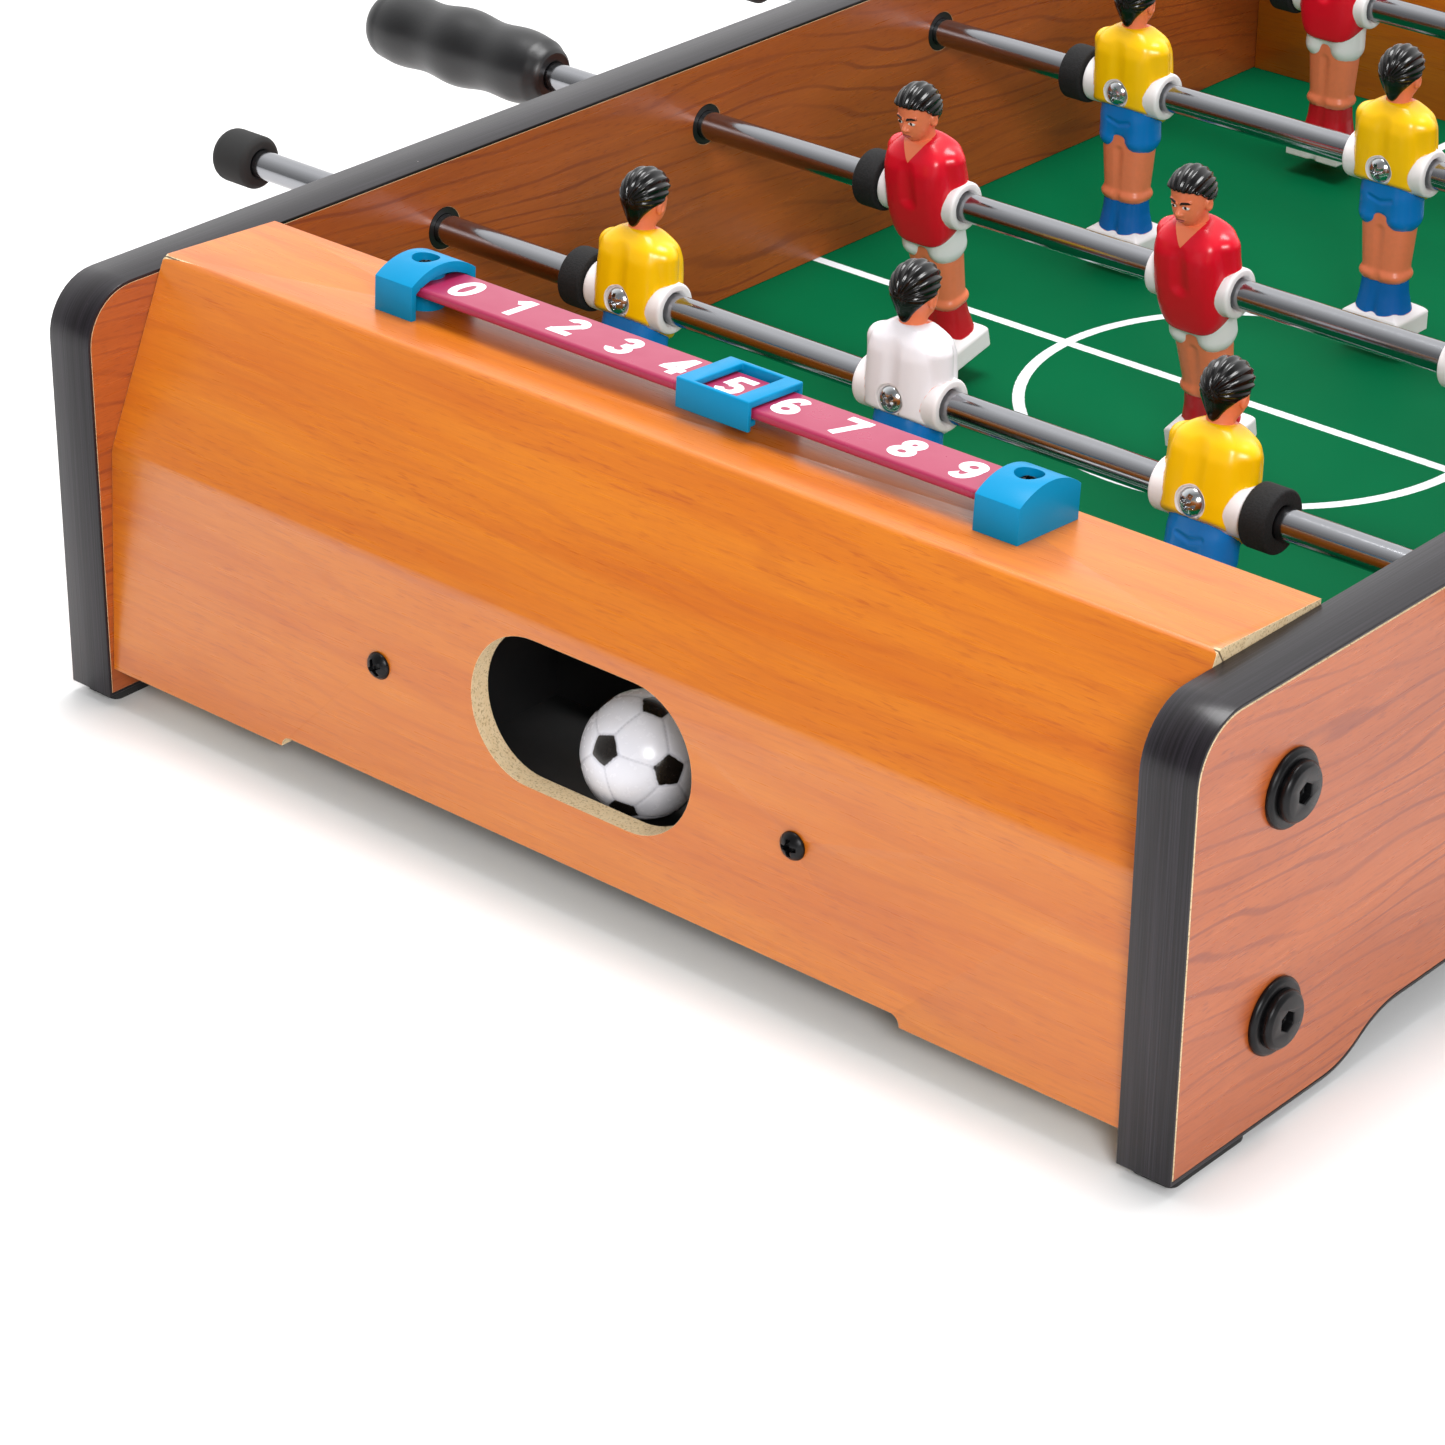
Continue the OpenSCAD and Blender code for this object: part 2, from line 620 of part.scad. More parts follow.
// Window frame that straddles the rail, with lips that hook under it
module score_slider(digit) color(sky) on_top() translate([(digit - 4.5) * digit_pitch, 0, 0]) {
  top = rail_top + slider_fit + slider_t;
  lip = 1.2;
  inner = rail_w / 2 + slider_fit;
  lip_top = rail_lift - slider_fit;
  for (side = [-1, 1]) {
    mirror([0, side < 0 ? 1 : 0, 0]) {
      translate([-slider_w / 2, inner, top - slider_h]) cube([slider_w, slider_d / 2 - inner, slider_h]);
      translate([-slider_w / 2, inner - 1.4, lip_top - lip]) cube([slider_w, 2, lip]);
    }
    translate([side * (slider_w - slider_bar) / 2 - slider_bar / 2, -inner - 0.2, top - slider_t])
      cube([slider_bar, 2 * inner + 0.4, slider_t]);
  }
}

module front_score_rail() at_end(0) score_rail();
module back_score_rail() at_end(1) score_rail();
module front_rail_caps() at_end(0) rail_caps();
module back_rail_caps() at_end(1) rail_caps();
module front_score_slider() at_end(0) score_slider(slider_digit[0]);
module back_score_slider() at_end(1) score_slider(slider_digit[1]);

// ---------------------------------------------------------------- rods
// Odd rods have their handle at +X, even rods at -X
module handle_side(n) mirror([n % 2 == 0 ? 1 : 0, 0, 0]) children();

module rod_bushings() color(coal) for (n = [1:4], side = [-1, 1]) translate([0, rod_y(n), rod_z])
  mirror([side < 0 ? 1 : 0, 0, 0]) difference() {
    union() {
      bar_x(bush_d, inner_x, half_w);
      bar_x(bush_flange_d, half_w, half_w + bush_flange_t);
    }
    bar_x(rod_d + 2 * run_fit, inner_x - 1, half_w + bush_flange_t + 1);
  }

// Tube with a cross hole for each player's screw
module rod(n) color(chrome) on_rod(n) handle_side(n) difference() {
  bar_x(rod_d, -handle_in - cap_grip, handle_in + handle_grip);
  bar_x(rod_d - 2 * rod_wall, -handle_in - cap_grip - 1, handle_in + handle_grip + 1);
  for (k = [-1:1]) translate([k * man_pitch, rod_d, 0]) rotate([90, 0, 0])
    cylinder(d = screw_d + 2 * grip_fit, h = 2 * rod_d);
}

// Ring with softened rims
module bumper() rotate([0, 90, 0]) rotate_extrude() {
  r = bumper_d / 2;
  edge = 0.8;
  bore = rod_d / 2 + run_fit;
  polygon([
    [bore, 0], [r - edge, 0], [r, edge], [r, bumper_w - edge], [r - edge, bumper_w], [bore, bumper_w]
  ]);
}

module bumpers(n) color(coal) beside_rod(n) for (side = [-1, 1])
  mirror([side < 0 ? 1 : 0, 0, 0]) translate([bumper_in, 0, 0]) bumper();

// Barrel handle with three finger grooves and a domed end
module handle(n) color(coal) on_rod(n) handle_side(n) translate([handle_in, 0, 0]) difference() {
  rotate([0, 90, 0]) rotate_extrude() polygon(concat([[0, 0]], handle_profile(), [[0, handle_l]]));
  bar_x(rod_d + 2 * grip_fit, -1, handle_grip + 1);
}

// Radius along a handle: a slim neck, a waved grip and a rounded end
function handle_radius(s) = handle_d / 2
  * (0.80 + 0.13 * sin(180 * s) - 0.045 * cos(360 * 3 * s))
  * (s < 0.06 ? 0.8 + 0.2 * s / 0.06 : 1);
function handle_profile() = concat(
  [for (i = [0:24]) [handle_radius(i / 24 * 0.9), handle_l * 0.9 * i / 24]],
  [for (i = [1:5]) let (a = 90 * i / 5)
    [handle_radius(0.9) * (0.3 + 0.7 * cos(a)), handle_l * (0.9 + 0.1 * sin(a))]]
);

module safety_cap(n) color(coal) on_rod(n) handle_side(n) difference() {
  translate([-handle_in - cap_l, 0, 0]) rotate([0, 90, 0]) rotate_extrude() {
    r = cap_d / 2;
    polygon(concat([[0, 0]], arc(r - 3, 3, 3, -90, 0, 6), [[r, cap_l - 1], [r - 1, cap_l], [0, cap_l]]));
  }
  bar_x(rod_d + 2 * grip_fit, -handle_in - cap_grip, -handle_in + 1);
}

// ---------------------------------------------------------------- players
// A player is drawn about the rod's axis, facing +Y. Rods 1 and 3 play towards +Y
module facing(n) rotate([0, 0, n % 2 == 0 ? 180 : 0]) children();

back_y = -chest_d / 2;                             // the player's back
neck_h = 0.55 * crown_h;                           // height of the neck

// Outline from in front: shoulders, waist, shorts, legs and boot
module man_front() {
  sh = shoulder_w / 2;
  polygon([
    [-0.55 * sh, neck_h], [-0.93 * sh, neck_h - 3], [-sh, neck_h - 7], [-0.9 * sh, 0], [-0.88 * sh, -9],
    [-0.94 * sh, -16], [-0.9 * sh, -20], [-0.72 * sh, -21.5], [-0.52 * sh, -man_reach + boot_h],
    [-boot_w / 2, -man_reach + boot_h - 1], [-boot_w / 2, -man_reach],
    [boot_w / 2, -man_reach], [boot_w / 2, -man_reach + boot_h - 1],
    [0.52 * sh, -man_reach + boot_h], [0.72 * sh, -21.5], [0.9 * sh, -20], [0.94 * sh, -16],
    [0.88 * sh, -9], [0.9 * sh, 0], [sh, neck_h - 7], [0.93 * sh, neck_h - 3], [0.55 * sh, neck_h]
  ]);
}

// Outline from the side, toes to the right
module man_side() {
  d = chest_d / 2;
  polygon([
    [-0.5 * d, neck_h], [-0.9 * d, neck_h - 3], [-d, 4], [-d, -4], [-0.8 * d, -9], [-0.72 * d, -20],
    [-0.5 * d, -21.5], [-0.42 * d, -man_reach + boot_h], [-boot_l * 0.42, -man_reach + boot_h - 1],
    [-boot_l * 0.42, -man_reach], [boot_l * 0.58, -man_reach], [boot_l * 0.58, -man_reach + 4],
    [0.5 * d, -man_reach + boot_h], [0.55 * d, -21.5], [0.75 * d, -20], [0.8 * d, -9],
    [d, -4], [d, 6], [0.8 * d, neck_h - 3], [0.5 * d, neck_h]
  ]);
}

// Egg-shaped head on a short neck
module head() rotate_extrude() {
  r = head_w / 2;
  h = crown_h - neck_h;
  polygon(concat([[0, -3], [0.62 * r, -3], [0.62 * r, 0.12 * h]],
    [for (i = [0:10]) let (a = -50 + 140 * i / 10)
      [r * cos(a), h * 0.56 + h * 0.44 * sin(a)]],
    [[0, h]]));
}

module player(n, place, shirt) color(shirt) on_rod(n) facing(n)
  translate([(n % 2 == 0 ? -1 : 1) * place * man_pitch, 0, 0]) difference() {
    union() {
      intersection() {
        rotate([90, 0, 0]) linear_extrude(4 * chest_d, center = true) man_front();
        along_x(2 * shoulder_w) man_side();
      }
      bar_x(sleeve_d, -sleeve_w / 2, sleeve_w / 2);
      translate([0, 0.3, neck_h]) head();
    }
    bar_x(rod_d + 2 * grip_fit, -sleeve_w, sleeve_w);
    translate([0, back_y - 1, 0]) rotate([-90, 0, 0]) {
      cylinder(d = screw_d + 2 * grip_fit, h = man_screw_l + 1.4);
      cylinder(d = screw_head_d + 0.5, h = 1 + head_sink);
    }
  }

head_sink = 0.8;                                   // depth of the seat for a player's screw head
man_screw_l = chest_d / 2 + rod_d / 2 + 1;         // length that reaches past the far side of the rod

module man_screws(n) color(chrome) on_rod(n) facing(n) for (k = [-1:1])
  translate([k * man_pitch, back_y + head_sink, 0]) pan_screw(man_screw_l - head_sink);

yellow_kit = "#FFC400";
red_kit = "#D8142F";
white_kit = "#F0EEF2";

left_side_panel();
right_side_panel();
left_edge_band();
right_edge_band();
front_end_board();
back_end_board();
pitch_board();
front_goal_wall();
back_goal_wall();
corner_blocks();
front_ball_tray();
back_ball_tray();
tray_screws();
rubber_feet();
side_bolts();
side_washers();
threaded_inserts();
rod_bushings();
front_score_rail();
back_score_rail();
front_rail_caps();
back_rail_caps();
rail_cap_screws();
front_score_slider();
back_score_slider();
front_ball();
back_ball();
rod(1);  // rod_1
bumpers(1);  // rod_1_bumpers
handle(1);  // rod_1_handle
safety_cap(1);  // rod_1_safety_cap
man_screws(1);  // rod_1_man_screws
player(1, -1, yellow_kit);  // rod_1_left_man
player(1, 0, white_kit);  // rod_1_keeper
player(1, 1, yellow_kit);  // rod_1_right_man
rod(2);  // rod_2
bumpers(2);  // rod_2_bumpers
handle(2);  // rod_2_handle
safety_cap(2);  // rod_2_safety_cap
man_screws(2);  // rod_2_man_screws
player(2, -1, red_kit);  // rod_2_left_man
player(2, 0, red_kit);  // rod_2_middle_man
player(2, 1, red_kit);  // rod_2_right_man
rod(3);  // rod_3
bumpers(3);  // rod_3_bumpers
handle(3);  // rod_3_handle
safety_cap(3);  // rod_3_safety_cap
man_screws(3);  // rod_3_man_screws
player(3, -1, yellow_kit);  // rod_3_left_man
player(3, 0, yellow_kit);  // rod_3_middle_man
player(3, 1, yellow_kit);  // rod_3_right_man
rod(4);  // rod_4
bumpers(4);  // rod_4_bumpers
handle(4);  // rod_4_handle
safety_cap(4);  // rod_4_safety_cap
man_screws(4);  // rod_4_man_screws
player(4, -1, red_kit);  // rod_4_left_man
player(4, 0, white_kit);  // rod_4_keeper
player(4, 1, red_kit);  // rod_4_right_man
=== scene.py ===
"""Looks of a tabletop football game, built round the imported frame.

Each sub-assembly is a class that keeps its sizes in millimetres and builds, dresses and
hands over its own pieces. Each finish is a frozen dataclass named for the real material.
"""

import json
import logging
import math
from collections.abc import Callable, Iterable
from dataclasses import dataclass, field
from enum import Enum

import bmesh
import bpy
import numpy as np
from mathutils import Euler, Matrix, Vector


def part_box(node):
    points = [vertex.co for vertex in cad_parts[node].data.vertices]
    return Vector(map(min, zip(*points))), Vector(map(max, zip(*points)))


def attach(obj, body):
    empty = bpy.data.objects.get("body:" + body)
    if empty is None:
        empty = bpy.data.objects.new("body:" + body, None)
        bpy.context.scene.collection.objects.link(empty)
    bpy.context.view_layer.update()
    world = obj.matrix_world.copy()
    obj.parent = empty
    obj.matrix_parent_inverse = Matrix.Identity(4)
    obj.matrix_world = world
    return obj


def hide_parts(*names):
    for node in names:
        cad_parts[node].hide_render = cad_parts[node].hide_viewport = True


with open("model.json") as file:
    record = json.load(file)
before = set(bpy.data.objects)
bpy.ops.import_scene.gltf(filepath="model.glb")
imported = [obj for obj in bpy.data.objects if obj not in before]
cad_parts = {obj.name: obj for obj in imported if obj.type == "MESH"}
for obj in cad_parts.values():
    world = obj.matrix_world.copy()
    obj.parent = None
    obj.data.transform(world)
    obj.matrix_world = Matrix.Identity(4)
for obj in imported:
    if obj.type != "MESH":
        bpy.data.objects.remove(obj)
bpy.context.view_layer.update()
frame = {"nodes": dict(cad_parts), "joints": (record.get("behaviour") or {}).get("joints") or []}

MM = 0.001
ENDS = ("front", "back")
SIDES = (-1, 1)
LOG = logging.getLogger("tabletop_football")


# ------------------------------------------------------------------ shader helpers
Socket = bpy.types.NodeSocket
Tree = bpy.types.NodeTree


def linear(hex_colour: str) -> tuple[float, float, float, float]:
    """Turns an sRGB colour into the linear values that shaders use.

    Args:
        hex_colour: The colour as "#RRGGBB".

    Returns:
        Red, green, blue and an alpha of 1.
    """
    parts = [int(hex_colour[i : i + 2], 16) / 255 for i in (1, 3, 5)]
    return (*[c / 12.92 if c <= 0.04045 else ((c + 0.055) / 1.055) ** 2.4 for c in parts], 1.0)


def feed(tree: Tree, socket: Socket, value: Socket | str | float | tuple) -> None:
    """Links a socket to another one, or sets it to a constant.

    Args:
        tree: The node tree.
        socket: The socket that takes the value.
        value: Another socket, a number, a vector, or a colour as "#RRGGBB".
    """
    if isinstance(value, Socket):
        tree.links.new(value, socket)
    else:
        socket.default_value = linear(value) if isinstance(value, str) else value


def add(tree: Tree, kind: str, inputs: dict | None = None, out: int = 0, **settings: object) -> Socket | None:
    """Adds a shader node with its settings and links.

    Args:
        tree: The node tree that the node goes in.
        kind: The node's type without its "ShaderNode" prefix.
        inputs: Socket name or index to what feeds it, as for feed().
        out: Index of the output that is handed back.
        **settings: Properties of the node.

    Returns:
        The chosen output socket, or None where the node has no outputs.
    """
    node = tree.nodes.new("ShaderNode" + kind)
    for name, value in settings.items():
        setattr(node, name, value)
    for name, value in (inputs or {}).items():
        feed(tree, node.inputs[name], value)
    return node.outputs[out] if node.outputs else None


def grain_space(tree: Tree, period: float | tuple[float, float, float]) -> Socket:
    """Gives coordinates in which a pattern of unit size has these periods.

    Args:
        tree: The node tree.
        period: Size of the pattern along X, Y and Z in millimetres, or one size for all.

    Returns:
        A vector socket.
    """
    place = add(tree, "TexCoord", out=3)
    sizes = period if isinstance(period, tuple) else (period,) * 3
    return add(tree, "Mapping", {"Vector": place, "Scale": tuple(1 / (size * MM) for size in sizes)})


# ------------------------------------------------------------------ finishes
@dataclass(frozen=True)
class Finish:
    """A surface: what it is made of, and how it was made."""

    name: str

    def material(self) -> bpy.types.Material:
        """Makes the material, or finds it if it was made before."""
        found = bpy.data.materials.get(self.name)
        if found:
            return found
        made = bpy.data.materials.new(self.name)
        made.use_nodes = True
        tree = made.node_tree
        tree.nodes.clear()
        surface = add(tree, "BsdfPrincipled")
        add(tree, "OutputMaterial", {"Surface": surface})
        for name, value in self.draw(tree).items():
            feed(tree, surface.node.inputs[name], value)
        return made

    def draw(self, tree: Tree) -> dict:
        """Draws the patterns.

        Args:
            tree: The material's node tree.

        Returns:
            The main shader's sockets, by name, and what feeds each.
        """
        raise NotImplementedError


class Grain(Enum):
    """Which way a wood print runs."""

    ALONG_X = (0, 1, 1)
    ALONG_Y = (1, 0, 1)

    def period(self, along: float, across: float) -> tuple[float, float, float]:
        """Periods along X, Y and Z from one along the grain and one across it."""
        return tuple(across if crosses else along for crosses in self.value)


@dataclass(frozen=True)
class WoodFoil(Finish):
    """Melamine foil printed with a wood grain and pressed on MDF, satin.

    Wide soft bands of tone, wavy growth lines and short dark pores are the print. The
    satin press gives a broad, soft reflection.
    """

    base: str
    shade: str
    line: str
    grain: Grain
    band: float = 9.0
    line_gap: float = 6.0
    line_wander: float = 2.6
    line_strength: float = 0.08
    pore_strength: float = 0.35
    pore_length: float = 5.0
    pore_depth: float = 0.03
    gloss_roughness: float = 0.3

    def growth_lines(self, tree: Tree) -> Socket:
        """Draws thin lines that follow the grain, wander and fade, a few millimetres apart."""
        place = add(tree, "TexCoord", out=3)
        slope = add(tree, "VectorMath", {0: place, 1: (0.0, 0.1, 1.0)}, 1, operation="DOT_PRODUCT")
        rows = add(tree, "Math", {0: slope, 1: self.line_gap * MM}, operation="DIVIDE")
        space = grain_space(tree, self.grain.period(110, 24))
        wander = add(tree, "TexNoise", {"Vector": space, "Scale": 1.0, "Detail": 2.0, "Roughness": 0.4})
        drift = add(tree, "Math", {0: wander, 1: self.line_wander * 2}, operation="MULTIPLY")
        turns = add(tree, "Math", {0: rows, 1: drift}, operation="ADD")
        angle = add(tree, "Math", {0: turns, 1: 2 * math.pi}, operation="MULTIPLY")
        wave = add(tree, "Math", {0: angle}, operation="SINE")
        thin = add(tree, "MapRange", {0: wave, 1: 0.72, 2: 1.0}, interpolation_type="SMOOTHSTEP")
        fade = add(tree, "TexNoise", {"Vector": grain_space(tree, self.grain.period(45, 12)), "Scale": 1.0})
        shown = add(tree, "MapRange", {0: fade, 1: 0.35, 2: 0.65, 3: 0.1, 4: self.line_strength * 2})
        return add(tree, "Math", {0: thin, 1: shown}, operation="MULTIPLY")

    def pores(self, tree: Tree) -> Socket:
        """Draws short dark pores that crowd together here and there."""
        # Printed pores are a sixth of a millimetre wide; they are drawn 0.4 mm wide to show.
        space = grain_space(tree, self.grain.period(self.pore_length, 0.4))
        pores = add(tree, "TexNoise", {"Vector": space, "Scale": 1.0, "Detail": 1.0})
        patch = add(tree, "TexNoise", {"Vector": grain_space(tree, self.grain.period(50, 14)), "Scale": 1.0})
        crowd = add(tree, "MapRange", {0: patch, 1: 0.35, 2: 0.6, 3: 0.25, 4: 1.0})
        sharp = add(tree, "MapRange", {0: pores, 1: 0.58, 2: 0.72, 3: 0.0, 4: self.pore_strength})
        return add(tree, "Math", {0: sharp, 1: crowd}, operation="MULTIPLY")

    def draw(self, tree: Tree) -> dict:
        """Lays bands, growth lines, fibres and pores over each other."""
        wide = grain_space(tree, self.grain.period(130, self.band))
        bands = add(tree, "TexNoise", {"Vector": wide, "Scale": 1.0, "Detail": 4.0, "Roughness": 0.6})
        band_mask = add(tree, "MapRange", {0: bands, 1: 0.36, 2: 0.66})
        narrow = grain_space(tree, self.grain.period(16, 0.6))
        fibres = add(tree, "TexNoise", {"Vector": narrow, "Scale": 1.0, "Detail": 3.0, "Roughness": 0.6})
        fibre_mask = add(tree, "MapRange", {0: fibres, 1: 0.35, 2: 0.75, 3: 0.0, 4: 0.22})
        pore_mask = self.pores(tree)
        colour = add(tree, "Mix", {0: band_mask, 6: self.base, 7: self.shade}, 2, data_type="RGBA")
        for mask in (self.growth_lines(tree), fibre_mask, pore_mask):
            colour = add(tree, "Mix", {0: mask, 6: colour, 7: self.line}, 2, data_type="RGBA")
        low, high = self.gloss_roughness - 0.04, self.gloss_roughness + 0.08
        rough = add(tree, "MapRange", {0: fibres, 1: 0.3, 2: 0.8, 3: low, 4: high})
        # The pressed pores break the reflection up along the grain.
        depth = self.pore_depth * MM
        bump = add(tree, "Bump", {"Height": pore_mask, "Strength": 0.3, "Distance": depth}, invert=True)
        return {
            "Base Color": colour, "Roughness": rough, "Normal": bump, "IOR": 1.6, "Specular IOR Level": 0.5,
        }


@dataclass(frozen=True)
class RawBoard(Finish):
    """Sawn MDF: felted wood fibres, matt, with darker specks of bark."""

    base: str = "#DEC49A"
    pale: str = "#EEDDBC"
    speck: str = "#8A6A40"
    glue: str = "#3A2412"
    fold_lines: tuple = ()

    def draw(self, tree: Tree) -> dict:
        """Draws fibres and specks, and a dark glue line wherever the board is folded."""
        fine = add(tree, "TexNoise", {"Vector": grain_space(tree, 0.5), "Scale": 1.0, "Detail": 3.0})
        coarse = add(tree, "TexNoise", {"Vector": grain_space(tree, 1.6), "Scale": 1.0, "Detail": 2.0})
        speck_mask = add(tree, "MapRange", {0: fine, 1: 0.52, 2: 0.72, 3: 0.0, 4: 0.75})
        tone_mask = add(tree, "MapRange", {0: coarse, 1: 0.35, 2: 0.7, 3: 0.0, 4: 0.35})
        colour = add(tree, "Mix", {0: tone_mask, 6: self.base, 7: self.pale}, 2, data_type="RGBA")
        colour = add(tree, "Mix", {0: speck_mask, 6: colour, 7: self.speck}, 2, data_type="RGBA")
        for start, end in self.fold_lines:
            mask = self.fold_mask(tree, start, end)
            colour = add(tree, "Mix", {0: mask, 6: colour, 7: self.glue}, 2, data_type="RGBA")
        bump = add(tree, "Bump", {"Height": fine, "Strength": 0.6, "Distance": 0.12 * MM})
        return {"Base Color": colour, "Roughness": 0.88, "Normal": bump, "IOR": 1.45}

    def fold_mask(self, tree: Tree, start: Vector, end: Vector) -> Socket:
        """Is strongest within 0.12 mm of a line in the Y-Z plane and gone at 0.24 mm.

        Args:
            tree: The node tree.
            start: One end of the line, as distance from the middle of the table, towards
                either end of it, and height in metres.
            end: Its other end.

        Returns:
            A value socket.
        """
        along = (end - start).normalized()
        across = (0.0, -along.y, along.x)
        place = add(tree, "VectorMath", {0: add(tree, "TexCoord", out=3)}, operation="ABSOLUTE")
        shift = add(tree, "VectorMath", {0: place, 1: (0, start.x, start.y)}, operation="SUBTRACT")
        off = add(tree, "VectorMath", {0: shift, 1: across}, 1, operation="DOT_PRODUCT")
        size = add(tree, "Math", {0: off}, operation="ABSOLUTE")
        return add(tree, "MapRange", {0: size, 1: 0.12 * MM, 2: 0.24 * MM, 3: 0.85, 4: 0.0})


@dataclass(frozen=True)
class EdgeTape(Finish):
    """Thermoplastic edge tape with an embossed dark wood print, ironed on."""

    base: str = "#110E12"
    streak: str = "#2C272E"
    dark: str = "#151014"
    fleck: str = "#A79C9C"

    def draw(self, tree: Tree) -> dict:
        """Draws fine streaks along the tape, which runs square to X everywhere."""
        # Streaks are 0.35 mm wide and run on for several centimetres round the corners.
        narrow, wide = grain_space(tree, (0.35, 45, 45)), grain_space(tree, (1.8, 70, 70))
        streaks = add(tree, "TexNoise", {"Vector": narrow, "Scale": 1.0, "Detail": 3.0, "Roughness": 0.6})
        broad = add(tree, "TexNoise", {"Vector": wide, "Scale": 1.0, "Detail": 1.0})
        flecks = add(tree, "TexNoise", {"Vector": grain_space(tree, 1.1), "Scale": 1.0})
        streak_mask = add(tree, "MapRange", {0: streaks, 1: 0.42, 2: 0.72})
        broad_mask = add(tree, "MapRange", {0: broad, 1: 0.4, 2: 0.7, 3: 0.0, 4: 0.5})
        fleck_mask = add(tree, "MapRange", {0: flecks, 1: 0.78, 2: 0.8, 3: 0.0, 4: 0.6})
        colour = add(tree, "Mix", {0: streak_mask, 6: self.base, 7: self.streak}, 2, data_type="RGBA")
        colour = add(tree, "Mix", {0: broad_mask, 6: colour, 7: self.dark}, 2, data_type="RGBA")
        colour = add(tree, "Mix", {0: fleck_mask, 6: colour, 7: self.fleck}, 2, data_type="RGBA")
        bump = add(tree, "Bump", {"Height": streaks, "Strength": 0.35, "Distance": 0.06 * MM})
        return {
            "Base Color": colour, "Roughness": 0.3, "Normal": bump, "IOR": 1.5, "Specular IOR Level": 0.35,
        }


@dataclass(frozen=True)
class PitchPrint(Finish):
    """Hardboard with a screen-printed pitch: green ink, then white lines over it."""

    half_length: float
    green: str = "#005E38"
    deep_green: str = "#00502F"
    white: str = "#DFE6EA"
    line: float = 2.9
    circle: float = 56.5
    area: tuple = (62.0, 40.0)
    goal_area: tuple = (38.0, 20.0)
    print_shift: tuple = (-3.0, -2.7)

    def draw(self, tree: Tree) -> dict:
        """Draws the markings as distances from their centre lines, in millimetres."""
        centre = (self.print_shift[0] * MM, self.print_shift[1] * MM, 0.0)
        place = add(tree, "VectorMath", {0: add(tree, "TexCoord", out=3), 1: centre}, operation="SUBTRACT")
        place = add(tree, "VectorMath", {0: place, 1: (1 / MM, 1 / MM, 0)}, operation="MULTIPLY")
        x = add(tree, "SeparateXYZ", {0: add(tree, "VectorMath", {0: place}, operation="ABSOLUTE")})
        y = x.node.outputs[1]
        radius = add(tree, "VectorMath", {0: place}, 1, operation="LENGTH")

        def maths(operation: str, a: Socket | float, b: Socket | float) -> Socket:
            """Joins two values or sockets by one operation."""
            return add(tree, "Math", {0: a, 1: b}, operation=operation)

        def rectangle(half_x: float, depth: float) -> Socket:
            """Distance outside a box this deep before either goal, negative inside it."""
            past_box = maths("SUBTRACT", self.half_length - depth, y)
            return maths("MAXIMUM", maths("SUBTRACT", x, half_x), past_box)

        marks = [y, maths("SUBTRACT", radius, self.circle), rectangle(*self.area), rectangle(*self.goal_area)]
        nearest = maths("ABSOLUTE", marks[0], 0.0)
        for mark in marks[1:]:
            nearest = maths("MINIMUM", nearest, maths("ABSOLUTE", mark, 0.0))
        ragged = add(tree, "TexNoise", {"Vector": grain_space(tree, 0.7), "Scale": 1.0, "Detail": 1.0})
        edge = maths("ADD", nearest, maths("MULTIPLY", maths("SUBTRACT", ragged, 0.5), 0.25))
        inner, outer = self.line / 2 - 0.08, self.line / 2 + 0.08
        line_mask = add(tree, "MapRange", {0: edge, 1: inner, 2: outer, 3: 1.0, 4: 0.0})
        cloud = add(tree, "TexNoise", {"Vector": grain_space(tree, 40), "Scale": 1.0, "Detail": 4.0})
        tone = add(tree, "MapRange", {0: cloud, 1: 0.3, 2: 0.75, 3: 0.0, 4: 0.35})
        colour = add(tree, "Mix", {0: tone, 6: self.green, 7: self.deep_green}, 2, data_type="RGBA")
        colour = add(tree, "Mix", {0: line_mask, 6: colour, 7: self.white}, 2, data_type="RGBA")
        # The felted back of the hardboard shows as a faint 0.6 mm orange peel in the ink.
        peel = add(tree, "TexNoise", {"Vector": grain_space(tree, 0.6), "Scale": 1.0, "Detail": 2.0})
        bump = add(tree, "Bump", {"Height": peel, "Strength": 0.12, "Distance": 0.05 * MM})
        return {
            "Base Color": colour, "Roughness": 0.55, "Normal": bump, "IOR": 1.45, "Specular IOR Level": 0.03,
        }


@dataclass(frozen=True)
class Moulded(Finish):
    """Injection-moulded plastic, such as ABS: even colour and a fine moulded texture."""

    base: str
    roughness: float = 0.35
    texture: float = 0.5
    texture_strength: float = 0.15
    tone: float = 0.12
    shine: float = 0.5

    def draw(self, tree: Tree) -> dict:
        """Draws slow flow marks in the colour and the mould's own texture."""
        flow = add(tree, "TexNoise", {"Vector": grain_space(tree, 9), "Scale": 1.0, "Detail": 3.0})
        mask = add(tree, "MapRange", {0: flow, 1: 0.3, 2: 0.75, 3: 0.0, 4: self.tone})
        deep = tuple(c * 0.55 for c in linear(self.base)[:3]) + (1.0,)
        colour = add(tree, "Mix", {0: mask, 6: self.base, 7: deep}, 2, data_type="RGBA")
        fine = grain_space(tree, self.texture)
        grain = add(tree, "TexNoise", {"Vector": fine, "Scale": 1.0, "Detail": 2.0})
        bump = add(tree, "Bump", {"Height": grain, "Strength": self.texture_strength, "Distance": 0.05 * MM})
        low, high = self.roughness - 0.04, self.roughness + 0.08
        handled = add(tree, "MapRange", {0: flow, 1: 0.3, 2: 0.8, 3: low, 4: high})
        return {
            "Base Color": colour, "Roughness": handled, "Normal": bump, "IOR": 1.53,
            "Specular IOR Level": self.shine,
        }


